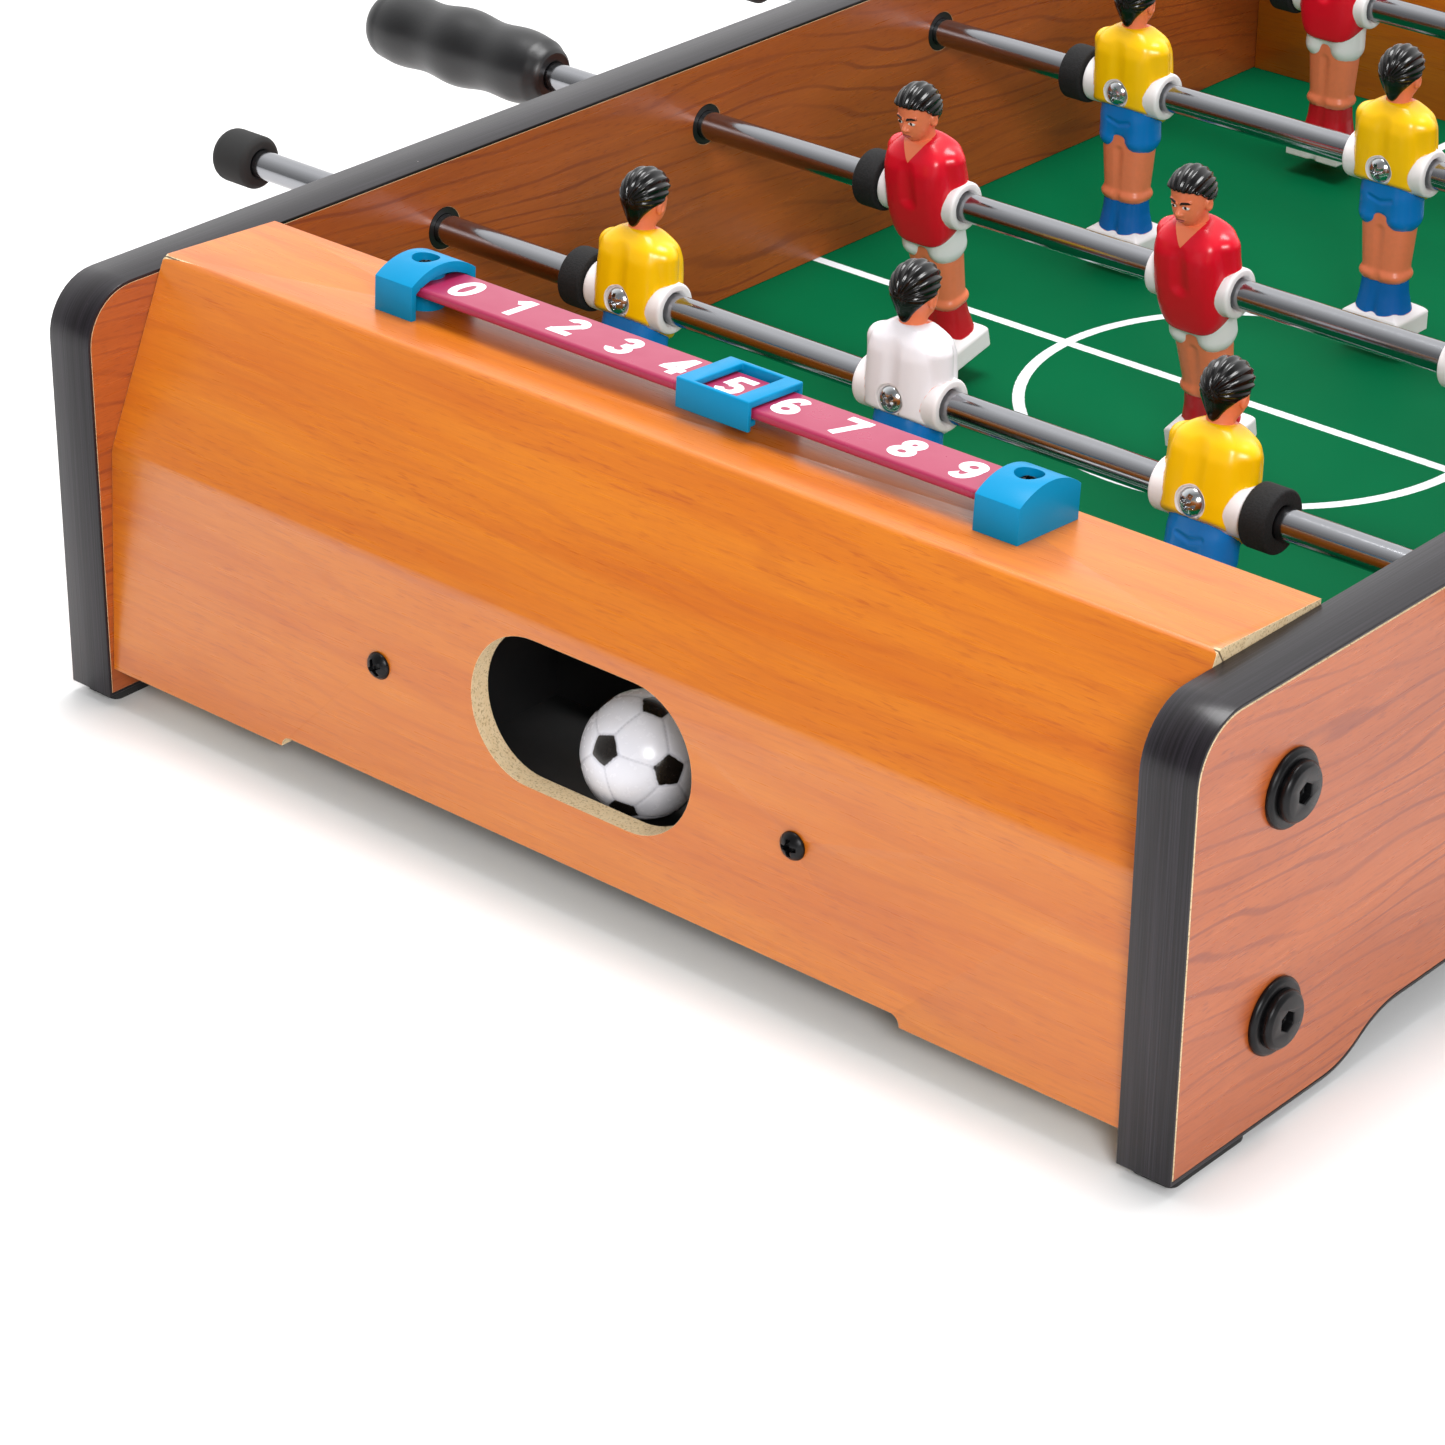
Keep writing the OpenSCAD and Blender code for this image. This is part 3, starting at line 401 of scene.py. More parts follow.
@dataclass(frozen=True)
class Foam(Finish):
    """Closed-cell EVA foam, cut from sheet: matt, with open cells on the cut faces."""

    base: str = "#0C0C0D"
    rims: str = "#1E1E20"

    def draw(self, tree: Tree) -> dict:
        """Draws the cells, 0.45 mm across, as pits and pale rims."""
        cells = add(tree, "TexVoronoi", {"Vector": grain_space(tree, 0.45), "Scale": 1.0})
        mask = add(tree, "MapRange", {0: cells, 1: 0.2, 2: 0.75, 3: 0.0, 4: 0.6})
        colour = add(tree, "Mix", {0: mask, 6: self.base, 7: self.rims}, 2, data_type="RGBA")
        bump = add(tree, "Bump", {"Height": cells, "Strength": 0.6, "Distance": 0.1 * MM})
        return {"Base Color": colour, "Roughness": 0.85, "Normal": bump, "IOR": 1.45}


@dataclass(frozen=True)
class Steel(Finish):
    """Steel with a plated or blackened skin, polished, turned or left as pressed.

    Fine marks from the tool, at their real spacing, stretch the reflections.
    """

    base: str
    roughness: float
    mark_period: tuple[float, float, float] = (0.25, 6.0, 6.0)
    mark_strength: float = 0.1
    metallic: float = 1.0

    def draw(self, tree: Tree) -> dict:
        """Draws tool marks in the roughness and the bump."""
        space = grain_space(tree, self.mark_period)
        marks = add(tree, "TexNoise", {"Vector": space, "Scale": 1.0, "Detail": 3.0})
        low, high = self.roughness * 0.75, self.roughness * 1.35
        rough = add(tree, "MapRange", {0: marks, 1: 0.3, 2: 0.75, 3: low, 4: high})
        bump = add(tree, "Bump", {"Height": marks, "Strength": self.mark_strength, "Distance": 0.01 * MM})
        return {"Base Color": self.base, "Metallic": self.metallic, "Roughness": rough, "Normal": bump}


@dataclass(frozen=True)
class Kit(Finish):
    """Gloss enamel sprayed through masks over a moulded ABS player.

    Each painted part has an attribute on the mesh that is negative inside the part, so
    that a mask's edge is as sharp as sprayed paint, about 0.1 mm.
    """

    shirt: str
    shorts: str
    socks: str
    skin: str = "#F2845A"
    bare: str = "#F1EEF0"
    hair: str = "#070607"
    worn: str = "#6B4A40"
    gloss: float = 0.27
    bare_gloss: float = 0.42

    def coats(self) -> dict[str, str]:
        """Painted parts in the order in which they are sprayed, and their colours."""
        return {
            "shirt": self.shirt, "collar": self.skin, "shorts": self.shorts, "socks": self.socks,
            "boots": self.bare, "sleeve": self.bare, "seat": self.bare, "lips": "#C4605A",
            "eyes": "#F4F4F2", "pupils": "#2A1B14", "brows": self.hair, "hair": self.hair,
        }

    def draw(self, tree: Tree) -> dict:
        """Sprays one coat over another on thin flesh paint. Hair is glossiest, bare parts dullest."""
        spray = add(tree, "TexNoise", {"Vector": grain_space(tree, 1.2), "Scale": 1.0, "Detail": 2.0})
        waver = add(tree, "MapRange", {0: spray, 1: 0.0, 2: 1.0, 3: -0.12, 4: 0.12})
        thin = add(tree, "MapRange", {0: spray, 1: 0.35, 2: 0.75, 3: 0.0, 4: 0.06})
        colour = add(tree, "Mix", {0: thin, 6: self.skin, 7: self.worn}, 2, data_type="RGBA")
        rough = 0.34
        own_gloss = {"hair": 0.2, "sleeve": self.bare_gloss, "boots": 0.4, "seat": self.bare_gloss}
        for part, coat in self.coats().items():
            depth = add(tree, "Attribute", out=2, attribute_name=part)
            edge = add(tree, "Math", {0: depth, 1: waver}, operation="ADD")
            mask = add(tree, "MapRange", {0: edge, 1: -0.05, 2: 0.05, 3: 1.0, 4: 0.0})
            colour = add(tree, "Mix", {0: mask, 6: colour, 7: coat}, 2, data_type="RGBA")
            gloss = own_gloss.get(part, self.gloss)
            rough = add(tree, "Mix", {0: mask, 2: rough, 3: gloss}, data_type="FLOAT")
        bump = add(tree, "Bump", {"Height": spray, "Strength": 0.1, "Distance": 0.05 * MM})
        return {"Base Color": colour, "Roughness": rough, "Normal": bump, "IOR": 1.5}


@dataclass(frozen=True)
class BallPlastic(Finish):
    """Blow-moulded ABS ball: white, with black pentagons printed between its seams."""

    base: str = "#E4E4EC"
    seam_shade: str = "#8E8E9C"
    ink: str = "#17120F"

    def draw(self, tree: Tree) -> dict:
        """Prints the pentagons and paints shade along the seams."""
        panel = add(tree, "Attribute", out=2, attribute_name="panel")
        seam = add(tree, "Attribute", out=2, attribute_name="seam")
        smear = add(tree, "TexNoise", {"Vector": grain_space(tree, 1.5), "Scale": 1.0, "Detail": 2.0})
        waver = add(tree, "MapRange", {0: smear, 1: 0.0, 2: 1.0, 3: -0.2, 4: 0.2})
        edge = add(tree, "Math", {0: panel, 1: waver}, operation="ADD")
        print_mask = add(tree, "MapRange", {0: edge, 1: -0.15, 2: 0.1, 3: 1.0, 4: 0.0})
        # Painted shade: a grey that fades out from each seam stands in for the shade in its groove.
        seam_shade_mask = add(tree, "MapRange", {0: seam, 1: 0.1, 2: 0.4, 3: 0.35, 4: 0.0})
        colour = add(tree, "Mix", {0: seam_shade_mask, 6: self.base, 7: self.seam_shade}, 2, data_type="RGBA")
        colour = add(tree, "Mix", {0: print_mask, 6: colour, 7: self.ink}, 2, data_type="RGBA")
        rough = add(tree, "MapRange", {0: smear, 1: 0.3, 2: 0.8, 3: 0.2, 4: 0.32})
        return {"Base Color": colour, "Roughness": rough, "IOR": 1.5}


# ------------------------------------------------------------------ mesh helpers
Profile = list[tuple[float, float]]
Parts = dict[str, np.ndarray]


@dataclass
class Shell:
    """A closed surface in millimetres, with values kept at its points."""

    points: np.ndarray
    faces: list
    values: Parts = field(default_factory=dict)
    normals: np.ndarray | None = None

    def mesh(self, name: str) -> bpy.types.Mesh:
        """Makes a smooth mesh in metres."""
        made = bpy.data.meshes.new(name)
        made.from_pydata((self.points * MM).tolist(), [], self.faces)
        for key, numbers in self.values.items():
            attribute = made.attributes.new(key, "FLOAT", "POINT")
            attribute.data.foreach_set("value", numbers.astype(np.float32))
        made.shade_smooth()
        if self.normals is not None:
            made.normals_split_custom_set_from_vertices(self.normals.tolist())
        return made

    @staticmethod
    def joined(shells: list["Shell"]) -> "Shell":
        """Puts several shells in one, each still closed by itself."""
        faces, start = [], 0
        for shell in shells:
            faces += [[start + i for i in face] for face in shell.faces]
            start += len(shell.points)
        values = {key: np.concatenate([s.values[key] for s in shells]) for key in shells[0].values}
        normals = None if shells[0].normals is None else np.concatenate([s.normals for s in shells])
        return Shell(np.concatenate([s.points for s in shells]), faces, values, normals)


def piece(name: str, mesh: bpy.types.Mesh, finishes: list[Finish], body: str,
          replaced: Iterable[str] = ()) -> bpy.types.Object:
    """Puts a finished mesh in the scene as a piece of the object.

    Args:
        name: The piece's name.
        mesh: Its mesh, in metres and in place.
        finishes: Its finishes, in the order of the mesh's material indices.
        body: The body that it rides on.
        replaced: The CAD nodes that it stands for.

    Returns:
        The new object.
    """
    for finish in finishes:
        mesh.materials.append(finish.material())
    made = bpy.data.objects.new(name, mesh)
    bpy.context.scene.collection.objects.link(made)
    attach(made, body)
    if replaced:
        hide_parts(*replaced)
    LOG.info("%s: %d faces on %s", name, len(mesh.polygons), body)
    return made


def dress(node: str, finish: Finish) -> None:
    """Gives a CAD node whose shape is right a better material."""
    target = frame["nodes"][node]
    if not target.material_slots:
        target.data.materials.append(finish.material())
    for kept in target.material_slots:
        kept.material = finish.material()
    LOG.info("%s: dressed in %s", node, finish.name)


def outline_of(node: str) -> bmesh.types.BMesh:
    """A CAD node's shape as a new mesh, with its flat faces whole again."""
    shape = bmesh.new()
    shape.from_mesh(frame["nodes"][node].data)
    bmesh.ops.remove_doubles(shape, verts=shape.verts, dist=0.002 * MM)
    bmesh.ops.dissolve_limit(shape, angle_limit=math.radians(0.6), verts=shape.verts, edges=shape.edges)
    return shape


def soften(shape: bmesh.types.BMesh, radius: float, segments: int = 2, mark: int = -1,
           pick: Callable[[bmesh.types.BMEdge], bool] = lambda edge: True, crease: float = 32.0) -> None:
    """Rounds the sharp edges of a shape.

    Args:
        shape: The shape.
        radius: Width of the rounding in millimetres.
        segments: Steps across the rounding.
        mark: Material index of the rounding, or -1 to keep its neighbours'.
        pick: Says which of the sharp edges are rounded.
        crease: Smallest angle between two faces, in degrees, that counts as sharp.
    """
    sharp = [
        edge for edge in shape.edges
        if edge.is_manifold and edge.calc_face_angle(0) > math.radians(crease) and pick(edge)
    ]
    bmesh.ops.bevel(
        shape, geom=sharp, offset=radius * MM, offset_type="OFFSET", segments=segments, profile=0.5,
        affect="EDGES", clamp_overlap=True, material=mark,
    )


def settle(shape: bmesh.types.BMesh, name: str, smooth_below: float = 32.0) -> bpy.types.Mesh:
    """Turns a shape into a mesh that is smooth except at its sharp edges.

    Args:
        shape: The shape, which is used up.
        name: The mesh's name.
        smooth_below: Faces that meet at less than this many degrees shade as one.

    Returns:
        The mesh.
    """
    mesh = bpy.data.meshes.new(name)
    shape.to_mesh(mesh)
    shape.free()
    mesh.shade_smooth()
    mesh.set_sharp_from_angle(angle=math.radians(smooth_below))
    return mesh


def lathe(profile: Profile, steps: int = 64) -> Shell:
    """Turns a profile about the X axis.

    Args:
        profile: Points of [place along X, radius]. The ends close on the axis if their
            radius is 0, and on each other if they are the same point.
        steps: Points round the axis.

    Returns:
        The turned shell.
    """
    ring = profile[0] == profile[-1]
    rows = profile[:-1] if ring else profile
    angles = np.arange(steps) * 2 * math.pi / steps
    points = np.array([[x, r * math.cos(a), r * math.sin(a)] for x, r in rows for a in angles])
    faces = []
    for row in range(len(rows) if ring else len(rows) - 1):
        a, b = row * steps, (row + 1) % len(rows) * steps
        faces += [[a + i, b + i, b + (i + 1) % steps, a + (i + 1) % steps] for i in range(steps)]
    return Shell(points, faces)


def turned(profile: Profile, name: str, place: Matrix, steps: int = 64) -> bpy.types.Mesh:
    """Makes a turned mesh in place, with its seam on the axis closed.

    Args:
        profile: As for lathe().
        name: The mesh's name.
        place: Where the profile's frame stands, in metres.
        steps: Points round the axis.

    Returns:
        The mesh.
    """
    shape = bmesh.new()
    shape.from_mesh(lathe(profile, steps).mesh(name))
    bmesh.ops.remove_doubles(shape, verts=shape.verts, dist=0.005 * MM)
    bmesh.ops.recalc_face_normals(shape, faces=shape.faces)
    shape.transform(place)
    return settle(shape, name)


def rounded_profile(corners: Profile, radius: float, steps: int = 3) -> Profile:
    """Rounds the corners of a closed profile.

    Args:
        corners: The corners, as [place along X, radius].
        radius: Radius of the roundings, in millimetres.
        steps: Points on each rounding, less one.

    Returns:
        The closed profile, whose last point is its first.
    """
    rounded = []
    for i, corner in enumerate(corners):
        here = Vector(corner)
        before = (Vector(corners[i - 1]) - here).normalized()
        after = (Vector(corners[(i + 1) % len(corners)]) - here).normalized()
        for step in range(steps + 1):
            t = step / steps
            pull = before * (1 - t) ** 2 + after * t**2
            rounded.append(tuple(here + pull * radius))
    return [*rounded, rounded[0]]


# ------------------------------------------------------------------ moulded solids
def blend_max(a: np.ndarray, b: np.ndarray, reach: float) -> np.ndarray:
    """The larger of two fields, rounded where they meet."""
    share = np.clip(0.5 + 0.5 * (a - b) / reach, 0, 1)
    return b + (a - b) * share + reach * share * (1 - share)


def blend_min(a: np.ndarray, b: np.ndarray, reach: float) -> np.ndarray:
    """The smaller of two fields, filleted where they meet."""
    return -blend_max(-a, -b, reach)


def ellipsoid(p: np.ndarray, centre: tuple, radii: tuple) -> np.ndarray:
    """Distance to an ellipsoid, negative inside."""
    q = (p - np.array(centre)) / np.array(radii)
    size = np.linalg.norm(q, axis=-1)
    return size * (size - 1) / np.maximum(np.linalg.norm(q / np.array(radii), axis=-1), 1e-6)


def capsule(p: np.ndarray, start: tuple, end: tuple, start_r: float, end_r: float) -> np.ndarray:
    """Distance to a round bar that tapers from start to end, negative inside."""
    a, along = np.array(start, float), np.array(end, float) - np.array(start, float)
    t = np.clip((p - a) @ along / (along @ along), 0, 1)
    return np.linalg.norm(p - a - t[..., None] * along, axis=-1) - (start_r + (end_r - start_r) * t)


def loft(p: np.ndarray, sections: list[tuple], power: float, end_round: float = 1.0) -> np.ndarray:
    """Distance to a solid of rounded cross-sections stacked along Z, negative inside.

    Args:
        p: The points.
        sections: Rising rows of [height, half width, half depth, middle along Y].
        power: 2 for oval sections, more for squarer ones.
        end_round: Rounding of the solid's two ends.

    Returns:
        The distances, close to true near the surface.
    """
    rows = np.array(sections, float)
    z = p[..., 2]
    fine = np.linspace(rows[0, 0], rows[-1, 0], 400)
    spread = np.exp(-0.5 * (np.linspace(-2, 2, 41)) ** 2)
    columns = []
    for column in (1, 2, 3):
        padded = np.pad(np.interp(fine, rows[:, 0], rows[:, column]), 20, mode="edge")
        columns.append(np.interp(z, fine, np.convolve(padded, spread / spread.sum(), "valid")))
    w, d, middle = columns
    off = (np.abs(p[..., 0] / w) ** power + np.abs((p[..., 1] - middle) / d) ** power) ** (1 / power)
    sides = (off - 1) * np.minimum(w, d)
    return blend_max(sides, np.maximum(rows[0, 0] - z, z - rows[-1, 0]), end_round)


def moulded(parts: Callable[[np.ndarray], Parts], low: tuple, high: tuple, step: float) -> Shell:
    """Finds the surface of a solid that is given by distances, on a grid of cells.

    Args:
        parts: Gives each part's distance at some points. The solid is all of them but
            "cut", which is taken away, and those whose name starts with "_", which are
            only painted on.
        low: Lowest corner of the grid, in millimetres.
        high: Highest corner.
        step: Size of a cell.

    Returns:
        A closed shell. At each point it keeps how far inside each part that point is.
    """

    def names(found: Parts) -> list[str]:
        """The parts that the solid is made of."""
        return [k for k in found if k != "cut" and not k.startswith("_")]

    def solid(p: np.ndarray) -> np.ndarray:
        """Distance to the whole solid."""
        found = parts(p)
        whole = np.minimum.reduce([found[k] for k in names(found)])
        return np.maximum(whole, -found["cut"]) if "cut" in found else whole

    # One point in every cell that the surface passes through, in the middle of its crossings.
    axes = [np.arange(a, b + step, step) for a, b in zip(low, high)]
    grid = np.stack(np.meshgrid(*axes, indexing="ij"), axis=-1)
    values = solid(grid)
    inside = values < 0
    size = np.array(values.shape) - 1
    corners = [(i, j, k) for i in (0, 1) for j in (0, 1) for k in (0, 1)]
    at = {c: tuple(slice(c[i], c[i] + size[i]) for i in range(3)) for c in corners}
    count = sum(inside[at[c]].astype(np.int8) for c in corners)
    mixed = (count > 0) & (count < 8)
    cells = np.argwhere(mixed)
    index = np.full(size, -1)
    index[mixed] = np.arange(len(cells))
    total, hits = np.zeros((len(cells), 3)), np.zeros(len(cells))
    for a in corners:
        for axis in range(3):
            if a[axis]:
                continue
            b = tuple(1 if i == axis else a[i] for i in range(3))
            va, vb = values[at[a]][mixed], values[at[b]][mixed]
            crosses = (va < 0) != (vb < 0)
            t = np.where(crosses, va / np.where(crosses, va - vb, 1), 0)
            spot = np.array(a, float) + t[:, None] * np.eye(3)[axis]
            total += spot * crosses[:, None]
            hits += crosses
    points = np.array([ax[0] for ax in axes]) + step * (cells + total / hits[:, None])
    # One face round every edge of the grid that the surface crosses.
    faces = []
    unit = np.eye(3, dtype=int)
    for axis, u, v in ((0, 1, 2), (1, 2, 0), (2, 0, 1)):
        first = np.take(inside, range(size[axis]), axis)
        second = np.take(inside, range(1, size[axis] + 1), axis)
        edges = np.argwhere(first != second)
        inner = (edges[:, [u, v]] > 0).all(1) & (edges[:, [u, v]] < size[[u, v]]).all(1)
        edges = edges[inner]
        steps_back = [unit[u] * i + unit[v] * j for i, j in ((1, 1), (0, 1), (0, 0), (1, 0))]
        quads = np.stack([index[tuple((edges - back).T)] for back in steps_back], axis=1)
        turn = second[tuple(edges.T)]
        quads[turn] = quads[turn][:, ::-1]
        faces += quads.tolist()
    # Two rounds of pulling the points on to the true surface, by less than half a cell each.
    probe, least_slope, most_pull = 0.05, 0.3, 0.4 * step
    for _ in range(2):
        here = solid(points)
        slope = np.stack([solid(points + d) - here for d in np.eye(3) * probe], axis=-1) / probe
        length = np.maximum((slope**2).sum(-1), least_slope)
        points = points - np.clip(here / length, -most_pull, most_pull)[:, None] * slope
    found = parts(points)
    kept = {k.lstrip("_"): v for k, v in found.items() if k != "cut"}
    for k in names(found):
        rest = [found[o] for o in names(found) if o != k]
        kept[k] = found[k] - np.minimum.reduce(rest) if rest else found[k]
    shade_reach = 0.12
    slope = np.stack([solid(points + d) - solid(points - d) for d in np.eye(3) * shade_reach], axis=-1)
    normals = slope / np.maximum(np.linalg.norm(slope, axis=-1), 1e-9)[:, None]
    return Shell(points, faces, kept, normals)


# ------------------------------------------------------------------ finishes in use
BEECH_FOIL = WoodFoil(
    "beech_foil_on_mdf", base="#D27818", shade="#C66812", line="#9A3A18", grain=Grain.ALONG_X,
)
CHERRY_FOIL = WoodFoil(
    "cherry_foil_on_mdf", base="#B85E26", shade="#A8511E", line="#6A2420", grain=Grain.ALONG_Y, band=14.0,
    line_gap=4.6, line_wander=3.4, line_strength=0.26, pore_strength=0.4, pore_length=3.5,
)
MDF = RawBoard("sawn_mdf")
TAPE = EdgeTape("ironed_edge_tape")
BLACK_ABS = Moulded("black_moulded_abs", "#141415", roughness=0.5)
BLACK_RUBBER = Moulded("black_rubber", "#17171A", roughness=0.72, texture_strength=0.3)
FOAM = Foam("cut_eva_foam")
BLACK_STEEL = Steel("black_oxide_steel", "#101012", roughness=0.33, metallic=0.55)
ZINC = Steel("bright_zinc_steel", "#C9CCCF", roughness=0.16, mark_period=(0.6, 0.6, 0.6), mark_strength=0.2)
CHROME = Steel("chromed_tube", "#9A9B9F", roughness=0.14, mark_period=(0.3, 3.0, 3.0), mark_strength=0.3)
RAIL_ABS = Moulded("raspberry_moulded_abs", "#A2264F", roughness=0.3, texture=0.35, texture_strength=0.12)
BLUE_ABS = Moulded(
    "sky_blue_moulded_abs", "#0088BA", roughness=0.36, texture=0.4, texture_strength=0.2, shine=0.12,
)
GRIP = Moulded("black_grip_plastic", "#121214", roughness=0.38, texture=0.8, texture_strength=0.4)
INK = Moulded("white_printing_ink", "#F4EFF2", roughness=0.4, tone=0.03)
BALL = BallPlastic("printed_ball_abs")
PALE_CARD = Moulded("pale_card", "#F4F4F4", roughness=0.8, tone=0.0, texture=30)


class Team(Enum):
    """The three kits."""

    YELLOW = Kit("yellow_kit_enamel", shirt="#FFC800", shorts="#0A7ACC", socks="#0A66B8")
    RED = Kit("red_kit_enamel", shirt="#DE0A28", shorts="#E9EBEC", socks="#C01424")
    KEEPER = Kit("white_kit_enamel", shirt="#F7F5FB", shorts="#0A7ACC", socks="#0A66B8")


def end_turn(end: str) -> Matrix:
    """Turns what is drawn for the front end round to the named end."""
    return Matrix.Rotation(math.pi if end == "back" else 0.0, 4, "Z")


# ------------------------------------------------------------------ side panels
@dataclass
class SidePanels:
    """Two foiled MDF panels, edged with tape, that stand on rubber feet."""

    cut_line: float = 0.3
    tape_round: float = 0.22
    foot_round: float = 0.6

    def build(self) -> None:
        """Builds both sides. The sawn core shows as a fine pale line beside the tape."""
        for side in ("left", "right"):
            panel = outline_of(f"{side}_side_panel")
            soften(panel, self.cut_line, segments=1, mark=1)
            mesh = settle(panel, f"{side}_panel")
            piece(f"{side}_panel", mesh, [CHERRY_FOIL, MDF], "table", [f"{side}_side_panel"])
            tape = outline_of(f"{side}_edge_band")
            soften(tape, self.tape_round)
            mesh = settle(tape, f"{side}_tape")
            piece(f"{side}_tape", mesh, [TAPE], "table", [f"{side}_edge_band"])
        feet = outline_of("rubber_feet")
        soften(feet, self.foot_round)
        piece("feet", settle(feet, "feet"), [BLACK_RUBBER], "table", ["rubber_feet"])


# ------------------------------------------------------------------ end boxes
@dataclass
class EndBoxes:
    """The folded end boards, the goal walls and what is inside them."""

    board: float = 5.0
    crease_inset: float = 4.8
    crease_drop: float = 37.4
    top_front: tuple[float, float] = (22.9, 2.8)
    top_back: tuple[float, float] = (56.0, 0.9)
    fold_round: float = 1.1
    edge_round: float = 0.25
    slot_below_fold: float = 12.0

    def fold_points(self) -> list[Vector]:
        """The fold line's points as distance from the middle and height, in metres."""
        low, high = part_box("left_edge_band")
        board_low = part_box("front_end_board")[0]
        at = [
            (board_low.y - low.y, board_low.z),
            (self.crease_inset * MM, high.z - self.crease_drop * MM),
            (self.top_front[0] * MM, high.z + self.top_front[1] * MM),
            (self.top_back[0] * MM, high.z + self.top_back[1] * MM),
        ]
        return [Vector((-low.y - inset, height)) for inset, height in at]

    def fold_lines(self) -> tuple:
        """Where the board's two mitred folds run through its thickness."""
        line = self.fold_points()
        lines = []
        for before, here, after in zip(line, line[1:], line[2:]):
            bend = ((before - here).normalized() + (after - here).normalized()).normalized()
            # A mitre is a little longer than the board is thick.
            lines.append((here, here + bend * self.board * MM * 1.2))
        return tuple(lines)

    def face_finish(self, face: bmesh.types.BMFace, outward: float) -> int:
        """Foil (0) on the outer skin and on the folds, sawn board (1) on every cut."""
        n = face.normal.copy()
        n.y *= outward
        centre = face.calc_center_median()
        line = self.fold_points()
        skins = [Vector((0, -(b - a).y, -(b - a).x)).normalized() for a, b in zip(line, line[1:])]
        faces_a_side, faces_in_or_down = abs(n.x) > 0.05, n.y > 0.3 or n.z < -0.3
        slot_floor = centre.z < line[2].y - self.slot_below_fold * MM and n.z > 0.6
        if faces_a_side or faces_in_or_down or slot_floor:
            return 1
        slack = 0.02
        between = skins[0].y - slack <= n.y <= skins[2].y + slack and n.z >= skins[0].z - slack
        return 0 if between else 1

    def build(self) -> None:
        """Builds both ends."""
        sawn = RawBoard("sawn_mdf_with_folds", fold_lines=self.fold_lines())
        folds = [point.y for point in self.fold_points()[1:3]]

        def on_fold(edge: bmesh.types.BMEdge) -> bool:
            """True for the two outer fold edges, which run the board's whole width."""
            a, b = (v.co for v in edge.verts)
            near, whole_width = 0.1 * MM, 100 * MM
            on_line = any(abs(a.z - z) < near and abs(b.z - z) < near for z in folds)
            return abs(a.x - b.x) > whole_width and on_line

        for end in ENDS:
            shape = outline_of(f"{end}_end_board")
            soften(shape, self.fold_round, segments=5, pick=on_fold, crease=10.0)
            soften(shape, self.edge_round, segments=2)
            outward = 1.0 if end == "front" else -1.0
            shape.normal_update()
            for face in shape.faces:
                face.material_index = self.face_finish(face, outward)
            mesh = settle(shape, f"{end}_board", smooth_below=25)
            piece(f"{end}_board", mesh, [BEECH_FOIL, sawn], "table", [f"{end}_end_board"])
            wall = outline_of(f"{end}_goal_wall")
            soften(wall, self.edge_round)
            for face in wall.faces:
                face.material_index = 0 if abs(face.normal.y) > 0.9 else 1
            mesh = settle(wall, f"{end}_wall")
            piece(f"{end}_wall", mesh, [BEECH_FOIL, MDF], "table", [f"{end}_goal_wall"])
            dress(f"{end}_ball_tray", BLACK_ABS)
        dress("corner_blocks", MDF)


# ------------------------------------------------------------------ pitch
@dataclass
class Pitch:
    """The printed board that the men play on."""

    def build(self) -> None:
        """Prints the pitch on its board, inside the goal walls."""
        half_length = -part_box("front_goal_wall")[1].y / MM
        dress("pitch_board", PitchPrint("printed_hardboard", half_length))
        LOG.info("pitch: %.0f mm between the goal walls", 2 * half_length)


# ------------------------------------------------------------------ screws
@dataclass
class CrossScrew:
    """A pan-head screw with a cross recess, drawn along +X with its head's rim at 0."""

    head_d: float = 6.4
    head_h: float = 1.8
    shank_d: float = 2.8
    recess: float = 4.2
    arm_half: float = 0.5
    recess_depth: float = 1.7
    step: float = 0.17

    def parts(self, length: float) -> Callable[[np.ndarray], Parts]:
        """The screw as distances: a domed head, a shank and the recess cut from it."""

        def field_at(p: np.ndarray) -> Parts:
            """Distances to the screw and its recess."""
            x, off = p[..., 0], np.hypot(p[..., 1], p[..., 2])
            ball_r = ((self.head_d / 2) ** 2 + self.head_h**2) / (2 * self.head_h)
            dome = np.linalg.norm(p - np.array([ball_r - self.head_h, 0, 0]), axis=-1) - ball_r
            rim = blend_max(off - self.head_d / 2, x - 0.35, 0.3)
            head = blend_max(dome, blend_max(rim, x - 0.3, 0.2), 0.35)
            shank = blend_max(off - self.shank_d / 2, np.maximum(x - length, -x - 0.5), 0.3)
            # The recess narrows as it goes down, as its driver does.
            taper = np.maximum(1 + (x + self.head_h) * 0.22, 0.4)
            sides = np.abs(p)
            arms = [
                np.maximum(sides[..., along] - self.recess / 2 / taper, sides[..., across] - self.arm_half)
                for along, across in ((1, 2), (2, 1))
            ]
            cross = blend_min(arms[0], arms[1], 0.4)
            cut = np.maximum(cross, x - (-self.head_h + self.recess_depth))
            return {"screw": np.minimum(head, shank), "cut": cut}

        return field_at

    def blank(self, length: float) -> bpy.types.Mesh:
        """Moulds one screw with a shank of the given length in millimetres."""
        half, spare = self.head_d / 2 + 0.3, 0.4
        low, high = (-self.head_h - spare, -half, -half), (length + spare, half, half)
        shell = moulded(self.parts(length), low, high, self.step)
        shell.values = {}
        return shell.mesh("one_screw")

    @staticmethod
    def set_out(blank: bpy.types.Mesh, name: str, places: list[Matrix]) -> bpy.types.Mesh:
        """Copies a screw to each place.

        Args:
            blank: The screw.
            name: The new mesh's name.
            places: Where each screw stands, in metres.

        Returns:
            All the screws in one mesh.
        """
        together = bmesh.new()
        for place in places:
            copy = blank.copy()
            copy.transform(place)
            together.from_mesh(copy)
        return settle(together, name, smooth_below=40)


